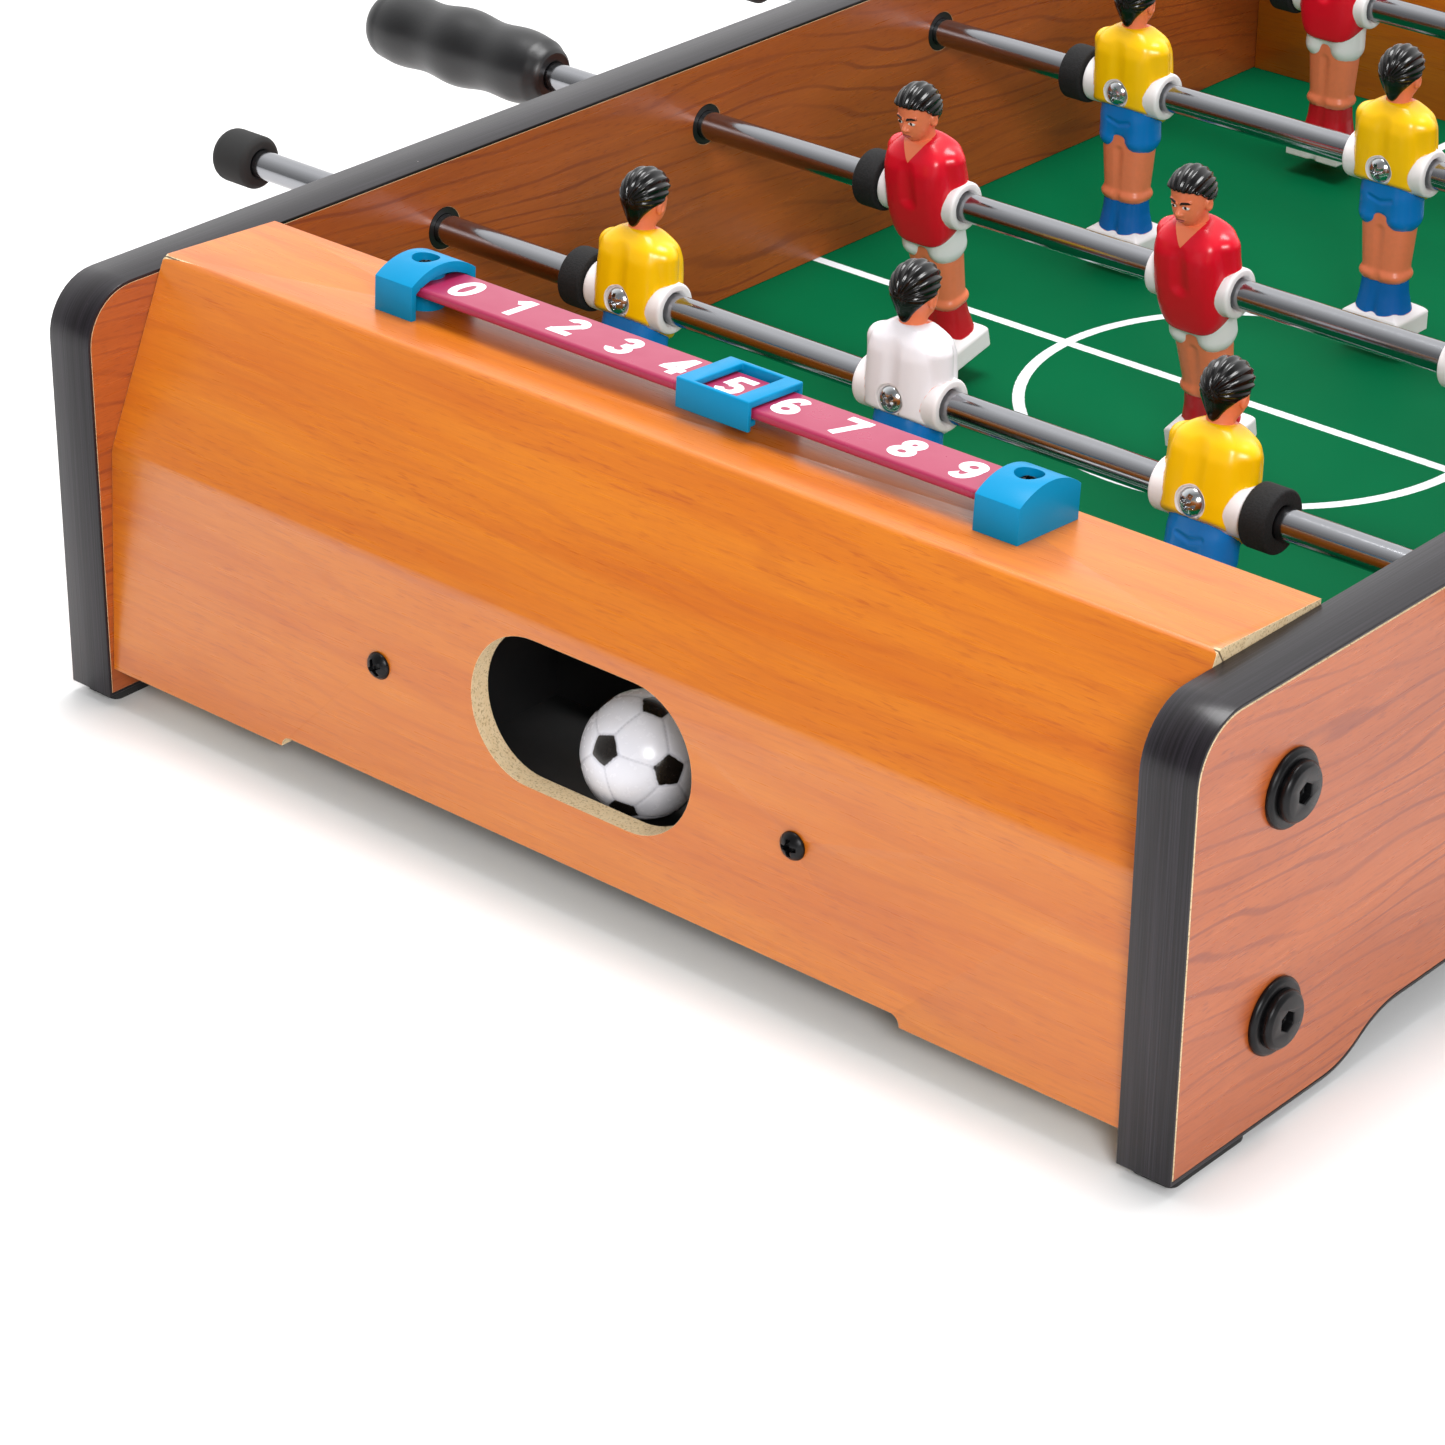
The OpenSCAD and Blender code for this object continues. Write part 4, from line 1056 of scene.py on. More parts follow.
# ------------------------------------------------------------------ fasteners
@dataclass
class Fasteners:
    """Side bolts with their washers, and the screws that hold the ball trays."""

    bolt_round: float = 0.25
    washer_round: float = 0.3
    tray_screw_l: float = 14.0

    def build(self) -> None:
        """Builds what shows, and dresses what is inside."""
        for name, radius in (("bolts", self.bolt_round), ("washers", self.washer_round)):
            shape = outline_of(f"side_{name}")
            soften(shape, radius, crease=28)
            piece(name, settle(shape, name), [BLACK_STEEL], "table", [f"side_{name}"])
        self.tray_screws()
        dress("threaded_inserts", ZINC)
        dress("rod_bushings", BLACK_ABS)

    def tray_screws(self) -> None:
        """Builds the four screws, each from its own head's place in the frame."""
        low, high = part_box("tray_screws")
        screw = CrossScrew()
        x = high.x - screw.head_d / 2 * MM
        z = (low.z + high.z) / 2
        inward = -low.y - screw.head_h * MM
        places = []
        for end in ENDS:
            for side in SIDES:
                head = Matrix.Translation((side * x, -inward, z)) @ Matrix.Rotation(math.pi / 2, 4, "Z")
                # No two screws stop at the same turn.
                places.append(end_turn(end) @ head @ Matrix.Rotation(0.5 + side, 4, "X"))
        mesh = screw.set_out(screw.blank(self.tray_screw_l), "tray_screw_set", places)
        piece("tray_screw_set", mesh, [BLACK_STEEL], "table", ["tray_screws"])


# ------------------------------------------------------------------ score rails
@dataclass
class ScoreRails:
    """A numbered rail on each end, with its two caps and its slider."""

    cap_round: float = 0.45
    slider_round: float = 0.35
    digit_pitch: float = 14.9
    digit_h: float = 9.6
    stroke: float = 0.105
    ink_t: float = 0.06
    moulded_ink_t: float = 0.8
    tilt: float = 3.285
    digit_shift: float = -1.2
    rail_t: float = 2.2
    seat_over_rail: float = 0.6
    cap_screw: CrossScrew = field(
        default_factory=lambda: CrossScrew(head_d=5.4, head_h=2.6, recess=3.4, arm_half=0.4)
    )
    cap_screw_l: float = 14.4
    drawn_head_d: float = 5.0

    def build(self) -> None:
        """Builds both rails."""
        for end in ENDS:
            rail = outline_of(f"{end}_score_rail")
            mesh = settle(rail, f"{end}_rail", smooth_below=40)
            piece(f"{end}_rail", mesh, [RAIL_ABS], "table", [f"{end}_score_rail"])
            caps = outline_of(f"{end}_rail_caps")
            soften(caps, self.cap_round, segments=3)
            mesh = settle(caps, f"{end}_caps")
            piece(f"{end}_caps", mesh, [BLUE_ABS], "table", [f"{end}_rail_caps"])
            slider = outline_of(f"{end}_score_slider")
            soften(slider, self.slider_round, segments=3)
            mesh = settle(slider, f"{end}_window")
            piece(f"{end}_window", mesh, [BLUE_ABS], f"{end}_slider", [f"{end}_score_slider"])
            piece(f"{end}_digits", self.digits(end), [INK], "table")
        self.cap_screws()

    def on_rail(self, end: str) -> Matrix:
        """The middle of a rail's bar, lying as the rail does."""
        low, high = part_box("front_score_rail")
        middle = Matrix.Translation((low + high) / 2)
        return end_turn(end) @ middle @ Matrix.Rotation(math.radians(-self.tilt), 4, "X")

    def cap_screws(self) -> None:
        """Builds the screw that stands in the hole of each cap."""
        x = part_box("rail_cap_screws")[1].x - self.drawn_head_d / 2 * MM
        seat = (self.rail_t / 2 + self.seat_over_rail) * MM
        places = [
            self.on_rail(end) @ Matrix.Translation((side * x, 0, seat)) @ Matrix.Rotation(math.pi / 2, 4, "Y")
            @ Matrix.Rotation(0.3 + side, 4, "X")
            for end in ENDS for side in SIDES
        ]
        mesh = CrossScrew.set_out(self.cap_screw.blank(self.cap_screw_l), "cap_screw_set", places)
        piece("cap_screw_set", mesh, [BLACK_STEEL], "table", ["rail_cap_screws"])

    def strokes(self) -> list[list[tuple]]:
        """Strokes of 0 to 9 on a body one unit high.

        A straight stroke is [x, y, x, y]. A curved one is [middle x, middle y, half
        width, half height, first angle, last angle], in degrees.
        """
        ring = (0, 0.5, 0.21, 0.395, 0, 360)
        six = [(0, 0.305, 0.21, 0.2, 0, 360), (0.0, 0.5, 0.21, 0.395, 42, 215)]
        nine = [(0, 0.695, 0.21, 0.2, 0, 360), (0.0, 0.5, 0.21, 0.395, -138, 35)]
        return [
            [ring],
            [(0.06, 0.0, 0.06, 1.0), (0.02, 0.93, -0.22, 0.72)],
            [(0, 0.705, 0.2, 0.19, -32, 172), (0.16, 0.62, -0.2, 0.12), (-0.3, 0.1, 0.3, 0.1)],
            [(0, 0.715, 0.18, 0.18, -88, 165), (0, 0.3, 0.21, 0.195, -165, 88), (-0.07, 0.53, 0.05, 0.53)],
            [(0.11, 0.0, 0.11, 1.0), (-0.31, 0.29, 0.31, 0.29), (-0.22, 0.3, 0.1, 0.93)],
            [(-0.2, 0.9, 0.27, 0.9), (-0.16, 0.98, -0.2, 0.46), (0.0, 0.32, 0.21, 0.215, -160, 135)],
            six,
            [(-0.3, 0.9, 0.3, 0.9), (0.2, 0.9, -0.1, 0.0)],
            [(0, 0.725, 0.165, 0.17, 0, 360), (0, 0.295, 0.21, 0.19, 0, 360)],
            nine,
        ]

    def ink(self, number: int) -> Callable[[np.ndarray], Parts]:
        """A numeral as distances, lying flat and as thick as it is easy to mould."""

        def field_at(p: np.ndarray) -> Parts:
            """Distance to the nearest stroke."""
            x, y = p[..., 0] / self.digit_h, p[..., 1] / self.digit_h
            nearest = np.full(x.shape, 9.0)
            for stroke in self.strokes()[number]:
                if len(stroke) == 4:
                    x0, y0, x1, y1 = stroke
                    length = math.hypot(x1 - x0, y1 - y0)
                    ux, uy = (x1 - x0) / length, (y1 - y0) / length
                    along = (x - x0) * ux + (y - y0) * uy - length / 2
                    across = (y - y0) * ux - (x - x0) * uy
                    far = np.maximum(np.abs(along) - length / 2, np.abs(across) - self.stroke)
                else:
                    cx, cy, rx, ry, first, last = stroke
                    qx, qy = (x - cx) / rx, (y - cy) / ry
                    size = np.maximum(np.hypot(qx, qy), 1e-6)
                    slope = np.hypot(qx / rx, qy / ry) / size
                    far = np.abs(size - 1) / slope - self.stroke
                    middle, half = (first + last) / 2, (last - first) / 2
                    away = np.abs((np.degrees(np.arctan2(qy, qx)) - middle + 180) % 360 - 180) - half
                    far = np.maximum(far, np.radians(away) * min(rx, ry)) if half < 180 else far
                nearest = np.minimum(nearest, far)
            return {"ink": np.maximum(nearest * self.digit_h, np.abs(p[..., 2]) - self.moulded_ink_t / 2)}

        return field_at

    def digits(self, end: str) -> bpy.types.Mesh:
        """Prints 0 to 9 on a rail, with their feet towards the end of the table."""
        face = self.on_rail(end) @ Matrix.Translation((0, 0, (self.rail_t + self.ink_t) / 2 * MM))
        press = Matrix.Diagonal((1, 1, self.ink_t / self.moulded_ink_t, 1))
        low, high, cell = (-3.7, -0.4, -0.7), (3.7, self.digit_h + 0.4, 0.7), 0.14
        sheet = bmesh.new()
        for number in range(10):
            shell = moulded(self.ink(number), low, high, cell)
            shell.values, shell.normals = {}, None
            mesh = shell.mesh("numeral")
            along = (number - 4.5) * self.digit_pitch + self.digit_shift
            shift = Vector((along * MM, -self.digit_h / 2 * MM, 0))
            mesh.transform(face @ Matrix.Translation(shift) @ press)
            sheet.from_mesh(mesh)
        return settle(sheet, f"{end}_digits", smooth_below=30)


# ------------------------------------------------------------------ balls
@dataclass
class Balls:
    """Two moulded balls with the classic pattern of pentagons and hexagons."""

    seam_depth: float = 0.14
    seam_width: float = 0.3
    pentagon_plane: float = 0.9764
    hexagon_plane: float = 0.9149
    print_inset: float = 0.12
    turn: dict[str, tuple] = field(
        default_factory=lambda: {"front": (29.4, 55.3, 105.0), "back": (40, 20, 75)}
    )

    def pattern(self, directions: np.ndarray) -> tuple[np.ndarray, np.ndarray]:
        """Finds how near each direction is to a seam and to a pentagon.

        Args:
            directions: Unit vectors.

        Returns:
            Distance to the nearest seam, and distance into the nearest pentagon as a
            negative value, both as shares of the radius.
        """
        golden = (1 + 5**0.5) / 2
        corners = [(0, a, b * golden) for a in (-1, 1) for b in (-1, 1)]
        corners = np.array([np.roll(c, k) for c in corners for k in range(3)], float)
        corners /= np.linalg.norm(corners[0])
        # Neighbouring corners of the icosahedron are 63 degrees apart, the next ones 117.
        near = corners @ corners.T > 0.4
        hexagons = [
            (corners[i] + corners[j] + corners[k]) / np.linalg.norm(corners[i] + corners[j] + corners[k])
            for i in range(12) for j in range(i + 1, 12) for k in range(j + 1, 12)
            if near[i, j] and near[j, k] and near[i, k]
        ]
        to_pentagon = directions @ corners.T / self.pentagon_plane
        to_hexagon = directions @ np.array(hexagons).T / self.hexagon_plane
        ranked = np.sort(np.concatenate([to_pentagon, to_hexagon], axis=1), axis=1)
        # The two largest values draw apart at about this rate on leaving a seam.
        per_radian = 0.75
        seam = (ranked[:, -1] - ranked[:, -2]) / per_radian
        return seam, (to_hexagon.max(1) - to_pentagon.max(1)) / per_radian

    def build(self) -> None:
        """Builds both balls."""
        for end in ENDS:
            low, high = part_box(f"{end}_ball")
            radius = (high.z - low.z) / 2 / MM
            shape = bmesh.new()
            bmesh.ops.create_icosphere(shape, subdivisions=6, radius=1.0)
            shape.verts.index_update()
            directions = np.array([v.co for v in shape.verts])
            faces = [[v.index for v in face.verts] for face in shape.faces]
            shape.free()
            seam, panel = self.pattern(directions)
            seam_mm, panel_mm = seam * radius, panel * radius + self.print_inset
            sunk = self.seam_depth * np.exp(-((seam_mm / self.seam_width) ** 2))
            skin = Shell(directions * (radius - sunk)[:, None], faces, {"seam": seam_mm, "panel": panel_mm})
            mesh = skin.mesh(f"{end}_match_ball")
            lie = Euler([math.radians(a) for a in self.turn[end]]).to_matrix().to_4x4()
            mesh.transform(Matrix.Translation((low + high) / 2) @ lie)
            piece(f"{end}_match_ball", mesh, [BALL], f"{end}_ball", [f"{end}_ball"])


# ------------------------------------------------------------------ players
@dataclass
class Player:
    """A moulded figure, drawn about the rod's axis and facing +Y, in millimetres."""

    sleeve_r: float = 5.9
    sleeve_half: float = 11.5
    bore_r: float = 3.6
    sole: float = -43.5
    body_step: float = 0.42
    head_step: float = 0.27
    head_scale: tuple = (0.9, 0.9, 0.84)
    drawn_chin: float = 17.5
    chin: float = 16.3
    seat_r: float = 3.45
    seat_y: float = -6.35
    ring_r: float = 3.75
    ring_y: float = -4.0

    def shirt(self, p: np.ndarray) -> np.ndarray:
        """Chest, back and upper arms, down to a hem that drops towards the front."""
        torso = loft(p, [
            (-10.8, 4.6, 3.6, 2.6), (-9.6, 6.9, 5.2, 1.9), (-7.0, 8.4, 6.5, 0.9), (-3.5, 9.1, 7.3, 0.4),
            (1.0, 9.3, 7.5, 0.3), (6.0, 9.2, 7.4, 0.2), (10.0, 9.0, 7.1, 0.0), (13.0, 8.4, 6.1, -0.3),
            (15.0, 6.4, 4.6, -0.5), (16.4, 3.9, 3.3, -0.6),
        ], 3.6)
        arms = None
        for side in SIDES:
            upper = capsule(p, (7.6 * side, -0.9, 10.8), (8.3 * side, -0.4, 4.4), 3.3, 2.7)
            lower = capsule(p, (8.3 * side, -0.4, 4.4), (7.9 * side, 2.8, -1.4), 2.7, 2.3)
            arm = blend_min(upper, lower, 0.8)
            arms = arm if arms is None else np.minimum(arms, arm)
        spine = capsule(p, (0, -9.0, 1.5), (0, -8.5, 12.5), 2.0, 1.8)
        chest = capsule(p, (0, 8.9, 3.0), (0, 8.4, 11.0), 1.9, 1.7)
        cloth = blend_min(torso, arms, 1.1)
        cloth = blend_max(cloth, -np.minimum(spine, chest), 1.6)
        hem = (-2.8 - 0.54 * (p[..., 1] + 7.0) - p[..., 2]) * 0.88
        return blend_max(cloth, hem, 0.7)

    def shorts(self, p: np.ndarray) -> np.ndarray:
        """Two round legs of cloth under a waist."""
        squeezed = p * np.array([1.0, 1 / 1.32, 1.0])
        lobes = np.minimum(
            capsule(squeezed, (-3.9, 0.1, -7.5), (-3.9, 0.2, -12.6), 3.8, 4.15),
            capsule(squeezed, (3.9, 0.1, -7.5), (3.9, 0.2, -12.6), 3.8, 4.15),
        )
        waist = loft(p, [(-12.0, 6.9, 4.8, 0.2), (-8.0, 7.4, 5.5, 0.1), (-2.0, 7.4, 5.4, 0.0)], 3.0)
        seat_fold = np.minimum(
            capsule(p, (-3.0, -5.5, -7.7), (0.0, -5.6, -8.6), 0.4, 0.6),
            capsule(p, (0.0, -5.6, -8.6), (3.0, -5.5, -7.7), 0.6, 0.4),
        )
        return blend_max(blend_min(lobes, waist, 0.9), -seat_fold, 0.7)

    def legs(self, p: np.ndarray) -> Parts:
        """Legs moulded as one post, with a rolled rim over the socks, and the boots."""
        leg = loft(p, [
            (-29.4, 5.6, 4.2, 0.2), (-28.6, 6.5, 5.0, 0.2), (-27.3, 6.5, 5.0, 0.2), (-26.6, 5.8, 4.3, 0.2),
            (-22.0, 6.2, 4.5, 0.2), (-16.0, 6.7, 4.7, 0.2), (-10.0, 6.6, 4.7, 0.2),
        ], 2.9, 0.4)
        sock = loft(p, [
            (-38.0, 6.9, 5.6, 0.4), (-36.0, 6.4, 5.2, 0.3), (-33.0, 5.9, 4.6, 0.2), (-28.0, 5.5, 4.1, 0.2),
        ], 2.9, 0.3)
        groove = np.minimum(
            capsule(p, (0, 6.0, -16), (0, 6.2, -37), 1.5, 1.5),
            capsule(p, (0, -5.5, -16), (0, -5.8, -37), 1.4, 1.4),
        )
        x, y, z = p[..., 0], p[..., 1], p[..., 2]
        block = np.maximum.reduce([np.abs(x) - 8.2, np.abs(y - 1.12) - 7.0, self.sole - z, z + 36.0])
        block = blend_max(block, 0.6 * np.abs(x) + 0.8 * z + 26.0, 0.5)
        block = blend_max(block, 0.5 * np.abs(y - 1.12) + 0.866 * z + 29.6, 0.5)
        toe_split = capsule(p, (0, 9.2, -35), (0, 9.0, -45), 1.7, 1.7)
        return {
            "legs": blend_max(leg, -groove, 0.8),
            "socks": blend_max(sock, -groove, 0.8),
            "boots": blend_max(block, -toe_split, 0.5),
        }

    def body(self, p: np.ndarray) -> Parts:
        """Everything below the neck, and the paint on it."""
        x, y, z = p[..., 0], p[..., 1], p[..., 2]
        off = np.hypot(y, z)
        sleeve = blend_max(off - self.sleeve_r, np.abs(x) - self.sleeve_half, 0.8)
        bore = off - (self.bore_r + np.maximum(0, np.abs(x) - self.sleeve_half + 0.8) * 0.8)
        screw_seat = np.maximum(np.hypot(x, z) - self.seat_r, y - self.seat_y)
        collar = np.maximum(12.2 + 1.25 * np.abs(x) - z, -y)
        seat_ring = np.maximum(np.hypot(x, z) - self.ring_r, y - self.ring_y)
        return {
            "shirt": self.shirt(p), "shorts": self.shorts(p), "sleeve": sleeve, **self.legs(p),
            "_collar": collar, "_seat": seat_ring, "cut": np.minimum(bore, screw_seat),
        }

    def head(self, p: np.ndarray) -> Parts:
        """A calm, plain head with even features and combed-back hair."""
        p = (p - (0, 0, self.chin)) / self.head_scale + (0, 0, self.drawn_chin)
        x, y, z = p[..., 0], p[..., 1], p[..., 2]
        skull = ellipsoid(p, (0, -0.3, 26.4), (5.0, 5.8, 6.4))
        jaw = ellipsoid(p, (0, 1.5, 22.8), (4.0, 4.5, 5.3))
        neck = capsule(p, (0, -0.8, 12.5), (0, -0.5, 20.5), 3.5, 3.3)
        flare = ellipsoid(p, (0, -0.7, 15.0), (5.3, 4.6, 1.9))
        skin = blend_min(blend_min(skull, jaw, 1.6), blend_min(neck, flare, 1.4), 1.0)
        even = np.stack([np.abs(x), y, z], axis=-1)
        ear, hollow = ellipsoid(even, (5.0, 0.0, 24.0), (0.9, 1.35, 2.0)), (0.45, 0.7, 1.1)
        ears = blend_max(ear, -ellipsoid(even, (5.9, 0.3, 24.1), hollow), 0.3)
        ridge = capsule(p, (0, 5.0, 25.3), (0, 6.2, 23.0), 0.55, 0.85)
        nose = blend_min(ridge, ellipsoid(even, (0.75, 5.7, 22.8), (0.55, 0.7, 0.5)), 0.4)
        socket = ellipsoid(even, (1.95, 6.5, 24.9), (1.35, 1.3, 0.95))
        eye = ellipsoid(even, (1.9, 4.55, 24.85), (1.0, 1.0, 0.85))
        brow = capsule(even, (0.8, 5.6, 26.0), (2.9, 4.7, 26.3), 0.45, 0.35)
        mouth = capsule(even, (0, 6.1, 20.9), (1.4, 5.7, 21.0), 0.22, 0.15)
        lips = ellipsoid(even, (0, 5.45, 20.9), (1.5, 0.7, 0.75))
        skin = blend_max(skin, -socket, 0.9)
        for lump in (ears, nose, brow, eye, lips):
            skin = blend_min(skin, lump, 0.35)
        skin = blend_max(skin, -mouth, 0.25)
        return {"skin": skin, "hair": self.hair(p, blend_min(skull, neck, 2.0)), **self.features(even)}

    def hair(self, p: np.ndarray, scalp: np.ndarray) -> np.ndarray:
        """Thick hair over the scalp, combed in strands from the brow to the nape."""
        x, y, z = p[..., 0], p[..., 1], p[..., 2]
        round_head = np.degrees(np.arctan2(np.abs(x), y + 0.3))
        # Height of the hairline, from the brow at 0 degrees round to the nape at 180.
        bearings = [0, 35, 60, 80, 95, 115, 138, 158, 170, 180]
        heights = [29.6, 29.2, 28.0, 25.8, 25.0, 24.2, 21.8, 19.2, 18.3, 18.1]
        hairline = np.interp(round_head, bearings, heights)
        crown = np.degrees(np.arctan2(x, z - 25.0))
        strands = 0.2 * np.cos(np.radians(crown) * 22 + 0.22 * y) * np.clip((z - 23.5) / 3.5, 0, 1)
        sweep = 0.9 + 0.25 * np.clip((y - 1) / 4, 0, 1)
        return blend_max(scalp - sweep - strands, (hairline - z) * 0.75, 0.7)

    def features(self, even: np.ndarray) -> Parts:
        """Painted eyes, brows and lips, as distances on the front of the face."""
        x, y, z = even[..., 0], even[..., 1], even[..., 2]

        def oval(cx: float, cz: float, rx: float, rz: float) -> np.ndarray:
            """Distance to an oval on the face."""
            return np.maximum((np.hypot((x - cx) / rx, (z - cz) / rz) - 1) * min(rx, rz), 2.5 - y)

        arc = z - 26.35 + 0.12 * (x - 1.9) ** 2
        brows = np.maximum.reduce([np.abs(arc) - 0.3, np.abs(x - 1.95) - 1.25, 2.5 - y])
        return {
            "_eyes": oval(1.9, 24.8, 0.95, 0.5), "_pupils": oval(1.85, 24.85, 0.45, 0.5),
            "_brows": brows, "_lips": oval(0, 20.9, 1.45, 0.55),
        }

    def mesh(self) -> bpy.types.Mesh:
        """Moulds the figure."""
        reach = self.sleeve_half + 0.9
        shells = [
            moulded(self.body, (-reach, -9.0, self.sole - 0.7), (reach, 9.2, 17.6), self.body_step),
            moulded(self.head, (-7.4, -8.4, 11.8), (7.4, 8.4, 31.2), self.head_step),
        ]
        keys = [*Team.YELLOW.value.coats()]
        for shell in shells:
            clear = np.full(len(shell.points), 9.0)
            shell.values = {key: shell.values.get(key, clear) for key in keys}
        return Shell.joined(shells).mesh("figure")


# ------------------------------------------------------------------ rods
@dataclass
class Rods:
    """Four chromed tubes, each with its men, bumper rings, handle and safety cap."""

    rest_turn: dict[int, float] = field(default_factory=lambda: {1: -7.0, 2: 13.0, 3: 0.0, 4: 0.0})
    lean: dict[str, float] = field(
        default_factory=lambda: {"rod_1_keeper": 4.0, "rod_1_right_man": -3.0}
    )
    bore_r: float = 3.6
    back: float = 7.2
    head_sink: float = 0.8
    screw_l: float = 11.0
    ring_w: float = 6.5
    ring_round: float = 0.7
    handle_grooves: int = 3
    barrel: float = 0.9
    neck: float = 0.06
    mouth_r: float = 3.55
    mouth_depth: float = 6.0

    def axis(self, n: int) -> Vector:
        """A point on rod n's axis, from its spinning joint."""
        joint = next(j for j in frame["joints"] if j["name"] == f"rod_{n}_spin")
        return Vector(joint["pos_m"])

    def stand(self, n: int, man: str) -> Matrix:
        """Where a man on rod n stands: turned as the rod is, with the slack of its own hole."""
        node = f"rod_{n}_{man}"
        low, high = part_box(node)
        at, x = self.axis(n), (low.x + high.x) / 2
        tilt = Matrix.Rotation(math.radians(self.rest_turn[n] + self.lean.get(node, 0.0)), 4, "X")
        face = Matrix.Rotation(math.pi if n % 2 == 0 else 0.0, 4, "Z")
        return Matrix.Translation((x, at.y, at.z)) @ tilt @ face

    def men(self, n: int) -> dict[str, Team]:
        """The men on rod n and their kits."""
        shirts = Team.YELLOW if n % 2 else Team.RED
        middle = {"keeper": Team.KEEPER} if n in (1, 4) else {"middle_man": shirts}
        return {"left_man": shirts, **middle, "right_man": shirts}

    def build(self) -> None:
        """Builds the four rods. One figure is moulded, and painted in each kit."""
        figure = Player().mesh()
        screw = CrossScrew().blank(self.screw_l)
        for n in range(1, 5):
            bar = f"rod_{n}_bar"
            dress(f"rod_{n}", CHROME)
            places = []
            for man, team in self.men(n).items():
                node = f"rod_{n}_{man}"
                stand = self.stand(n, man)
                mesh = figure.copy()
                mesh.transform(stand)
                piece(f"{node}_figure", mesh, [team.value], bar, [node])
                seat = Matrix.Translation((0, (self.head_sink - self.back) * MM, 0))
                inward = Matrix.Rotation(math.pi / 2, 4, "Z")
                places.append(stand @ seat @ inward @ Matrix.Rotation(0.4 + n + len(places), 4, "X"))
            mesh = CrossScrew.set_out(screw, f"rod_{n}_cross_screws", places)
            piece(f"rod_{n}_cross_screws", mesh, [ZINC], bar, [f"rod_{n}_man_screws"])
            self.rings(n)
            self.handle(n)
            self.safety_cap(n)

    def rings(self, n: int) -> None:
        """Two rings of foam that stop the men short of the walls."""
        low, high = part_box(f"rod_{n}_bumpers")
        at = self.axis(n)
        outer = (high.z - low.z) / 2 / MM
        middle = (low.x + high.x) / 2
        start = (high.x - middle) / MM - self.ring_w
        corners = [(0.0, self.bore_r), (0.0, outer), (self.ring_w, outer), (self.ring_w, self.bore_r)]
        off_middle = Matrix.Translation((start * MM, 0, 0))
        both = bmesh.new()
        for side in SIDES:
            place = Matrix.Translation((middle, at.y, at.z)) @ Matrix.Diagonal((side, 1, 1, 1)) @ off_middle
            mesh = turned(rounded_profile(corners, self.ring_round), "ring", place)
            if side < 0:
                mesh.flip_normals()
            both.from_mesh(mesh)
        mesh = settle(both, f"rod_{n}_foam_rings", smooth_below=60)
        piece(f"rod_{n}_foam_rings", mesh, [FOAM], f"rod_{n}_rings", [f"rod_{n}_bumpers"])

    def handle(self, n: int) -> None:
        """A moulded barrel grip with finger grooves, a collar and a domed end."""
        low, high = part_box(f"rod_{n}_handle")
        length = (high.x - low.x) / MM
        top = (high.z - low.z) / 2 / MM
        out = 1 if n % 2 else -1
        at = self.axis(n)
        body = []
        steps = 72
        for i in range(steps + 1):
            s = self.barrel * i / steps
            grooves = math.cos(2 * math.pi * self.handle_grooves * s)
            wave = 0.80 + 0.13 * math.sin(math.pi * s) - 0.045 * grooves
            neck = 0.8 + 0.2 * min(s / self.neck, 1.0)
            body.append((length * s, wave * neck))
        widest = max(r for _, r in body)
        # The grip stays a hair inside the CAD handle.
        body = [(x, r / widest * top * 0.995) for x, r in body]
        last = body[-1][1]
        dome = [
            (length * (self.barrel + 0.1 * math.sin(a)), last * (0.25 + 0.75 * math.cos(a)))
            for a in np.linspace(0.1, math.pi / 2, 9)
        ]
        dimple = [(length - 0.6, last * 0.2), (length - 0.6, 0.0)]
        first = body[0][1]
        bore = [(self.mouth_depth, 0.0), (self.mouth_depth, self.mouth_r), (0.4, self.mouth_r)]
        rim = [(0.0, 4.0), (0.0, first - 0.5), (0.4, first)]
        start = low.x if out > 0 else high.x
        place = Matrix.Translation((start, at.y, at.z)) @ Matrix.Rotation(0 if out > 0 else math.pi, 4, "Z")
        mesh = turned([*bore, *rim, *body[1:], *dome, *dimple], f"rod_{n}_grip", place, steps=72)
        piece(f"rod_{n}_grip", mesh, [GRIP], f"rod_{n}_bar", [f"rod_{n}_handle"])

    def safety_cap(self, n: int) -> None:
        """A rubber cap over the rod's far end."""
        shape = outline_of(f"rod_{n}_safety_cap")
        soften(shape, 0.4, crease=40)
        name, node = f"rod_{n}_end_cap", f"rod_{n}_safety_cap"
        mesh = settle(shape, name, smooth_below=40)
        piece(name, mesh, [BLACK_RUBBER], f"rod_{n}_bar", [node])


# ------------------------------------------------------------------ stage
@dataclass(frozen=True)
class SoftBox:
    """A square area light, in metres and watts."""

    name: str
    place: tuple[float, float, float]
    aim: tuple[float, float, float]
    size: float
    power: float

    def hang(self) -> None:
        """Hangs the light and turns it to face its aim."""
        data = bpy.data.lights.new(self.name, "AREA")
        data.size, data.energy = self.size, self.power
        lamp = bpy.data.objects.new(self.name, data)
        lamp.location = self.place
        lamp.rotation_mode = "QUATERNION"
        lamp.rotation_quaternion = (Vector(self.aim) - Vector(self.place)).to_track_quat("-Z", "Y")
        bpy.context.scene.collection.objects.link(lamp)


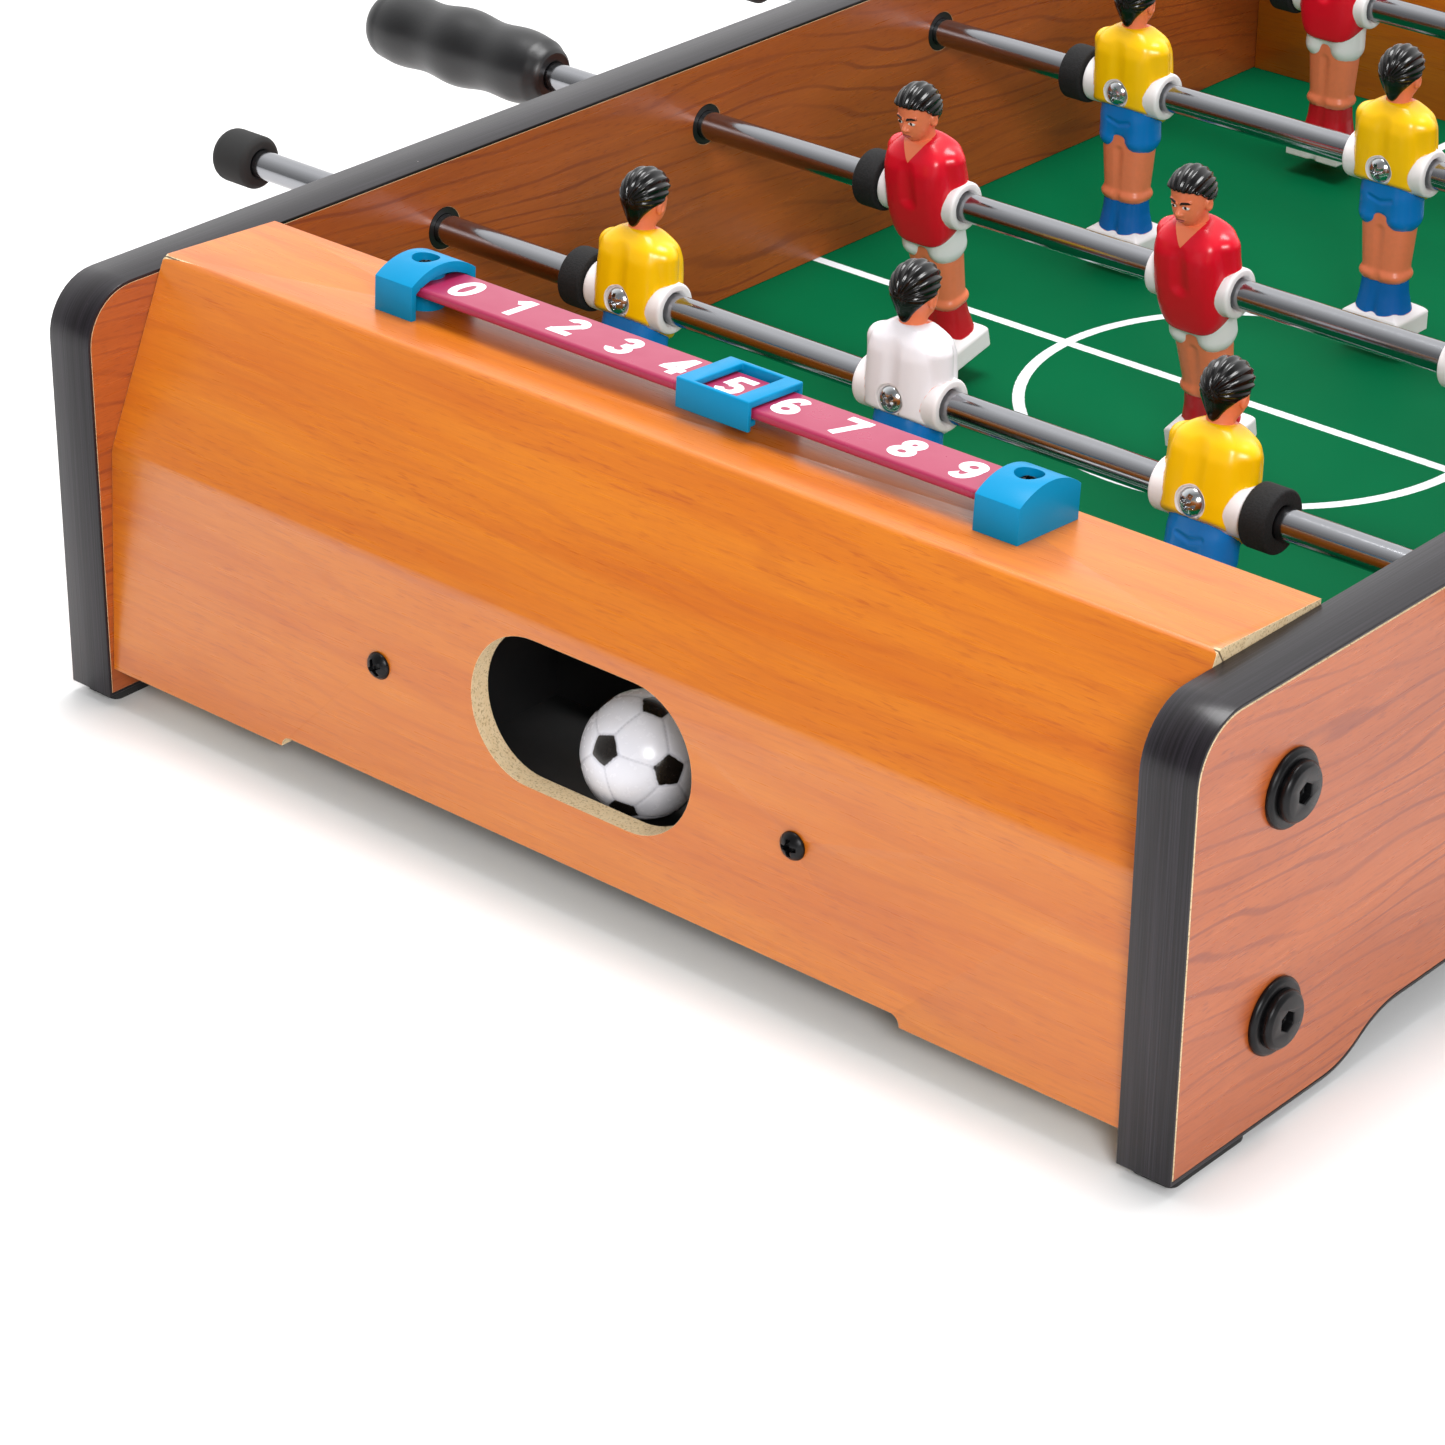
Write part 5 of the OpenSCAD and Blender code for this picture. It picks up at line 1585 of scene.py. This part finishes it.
@dataclass
class Studio:
    """A pale floor, soft light and the camera."""

    azimuth: float = 40.893
    elevation: float = 28.167
    roll: float = 0.515
    place: tuple[float, float, float] = (0.5429, -0.8266, 0.4713)
    lens: float = 111.42
    sensor: float = 36.0
    wall: tuple[float, float, float] = (-0.5, 0.85, 0.15)
    wall_glow: float = 1.35
    room_glow: float = 0.28
    floor_half: float = 6.0
    lights: tuple[SoftBox, ...] = (
        SoftBox("overhead", (-0.1, 0.1, 1.5), (0, 0, 0), 0.7, 20),
        SoftBox("key", (1.3, -1.3, 1.0), (0, -0.1, 0.05), 0.55, 22),
    )

    def camera(self) -> None:
        """Sets the camera by its bearing, height above the horizon and roll."""
        az, el, roll = (math.radians(a) for a in (self.azimuth, self.elevation, self.roll))
        back = Vector((math.sin(az) * math.cos(el), -math.cos(az) * math.cos(el), math.sin(el)))
        right = (-back).cross(Vector((0, 0, 1))).normalized()
        up = right.cross(-back)
        cos, sin = math.cos(roll), math.sin(roll)
        right, up = right * cos + up * sin, up * cos - right * sin
        data = bpy.data.cameras.new("camera")
        data.lens, data.sensor_width, data.sensor_fit = self.lens, self.sensor, "HORIZONTAL"
        data.clip_start, data.clip_end = 0.01, 50
        camera = bpy.data.objects.new("camera", data)
        camera.matrix_world = Matrix.Translation(self.place) @ Matrix((right, up, back)).transposed().to_4x4()
        bpy.context.scene.collection.objects.link(camera)
        bpy.context.scene.camera = camera

    def build(self) -> None:
        """Sets the floor, the lights and the camera."""
        self.camera()
        shape = bmesh.new()
        bmesh.ops.create_grid(shape, x_segments=1, y_segments=1, size=self.floor_half)
        floor = bpy.data.objects.new("floor", settle(shape, "floor"))
        floor.data.materials.append(PALE_CARD.material())
        bpy.context.scene.collection.objects.link(floor)
        world = bpy.data.worlds.new("studio")
        world.use_nodes = True
        # A white wall behind the far end, and a dim room on the camera's side.
        tree = world.node_tree
        bearing = add(tree, "TexCoord", out=0)
        towards_wall = add(tree, "VectorMath", {0: bearing, 1: self.wall}, 1, operation="DOT_PRODUCT")
        room, bright = self.room_glow, self.wall_glow
        glow = add(tree, "MapRange", {0: towards_wall, 1: -0.35, 2: 0.55, 3: room, 4: bright})
        tree.links.new(glow, tree.nodes["Background"].inputs[1])
        tree.nodes["Background"].inputs[0].default_value = (1.0, 1.0, 1.0, 1.0)
        bpy.context.scene.world = world
        for lamp in self.lights:
            lamp.hang()
        view = bpy.context.scene.view_settings
        view.view_transform, view.look = "Standard", "None"


def main() -> None:
    """Builds the sub-assemblies in order."""
    logging.basicConfig(level=logging.INFO, format="%(message)s")
    Studio().build()
    SidePanels().build()
    EndBoxes().build()
    Pitch().build()
    Fasteners().build()
    ScoreRails().build()
    Balls().build()
    Rods().build()


if __name__ == "__main__":
    main()
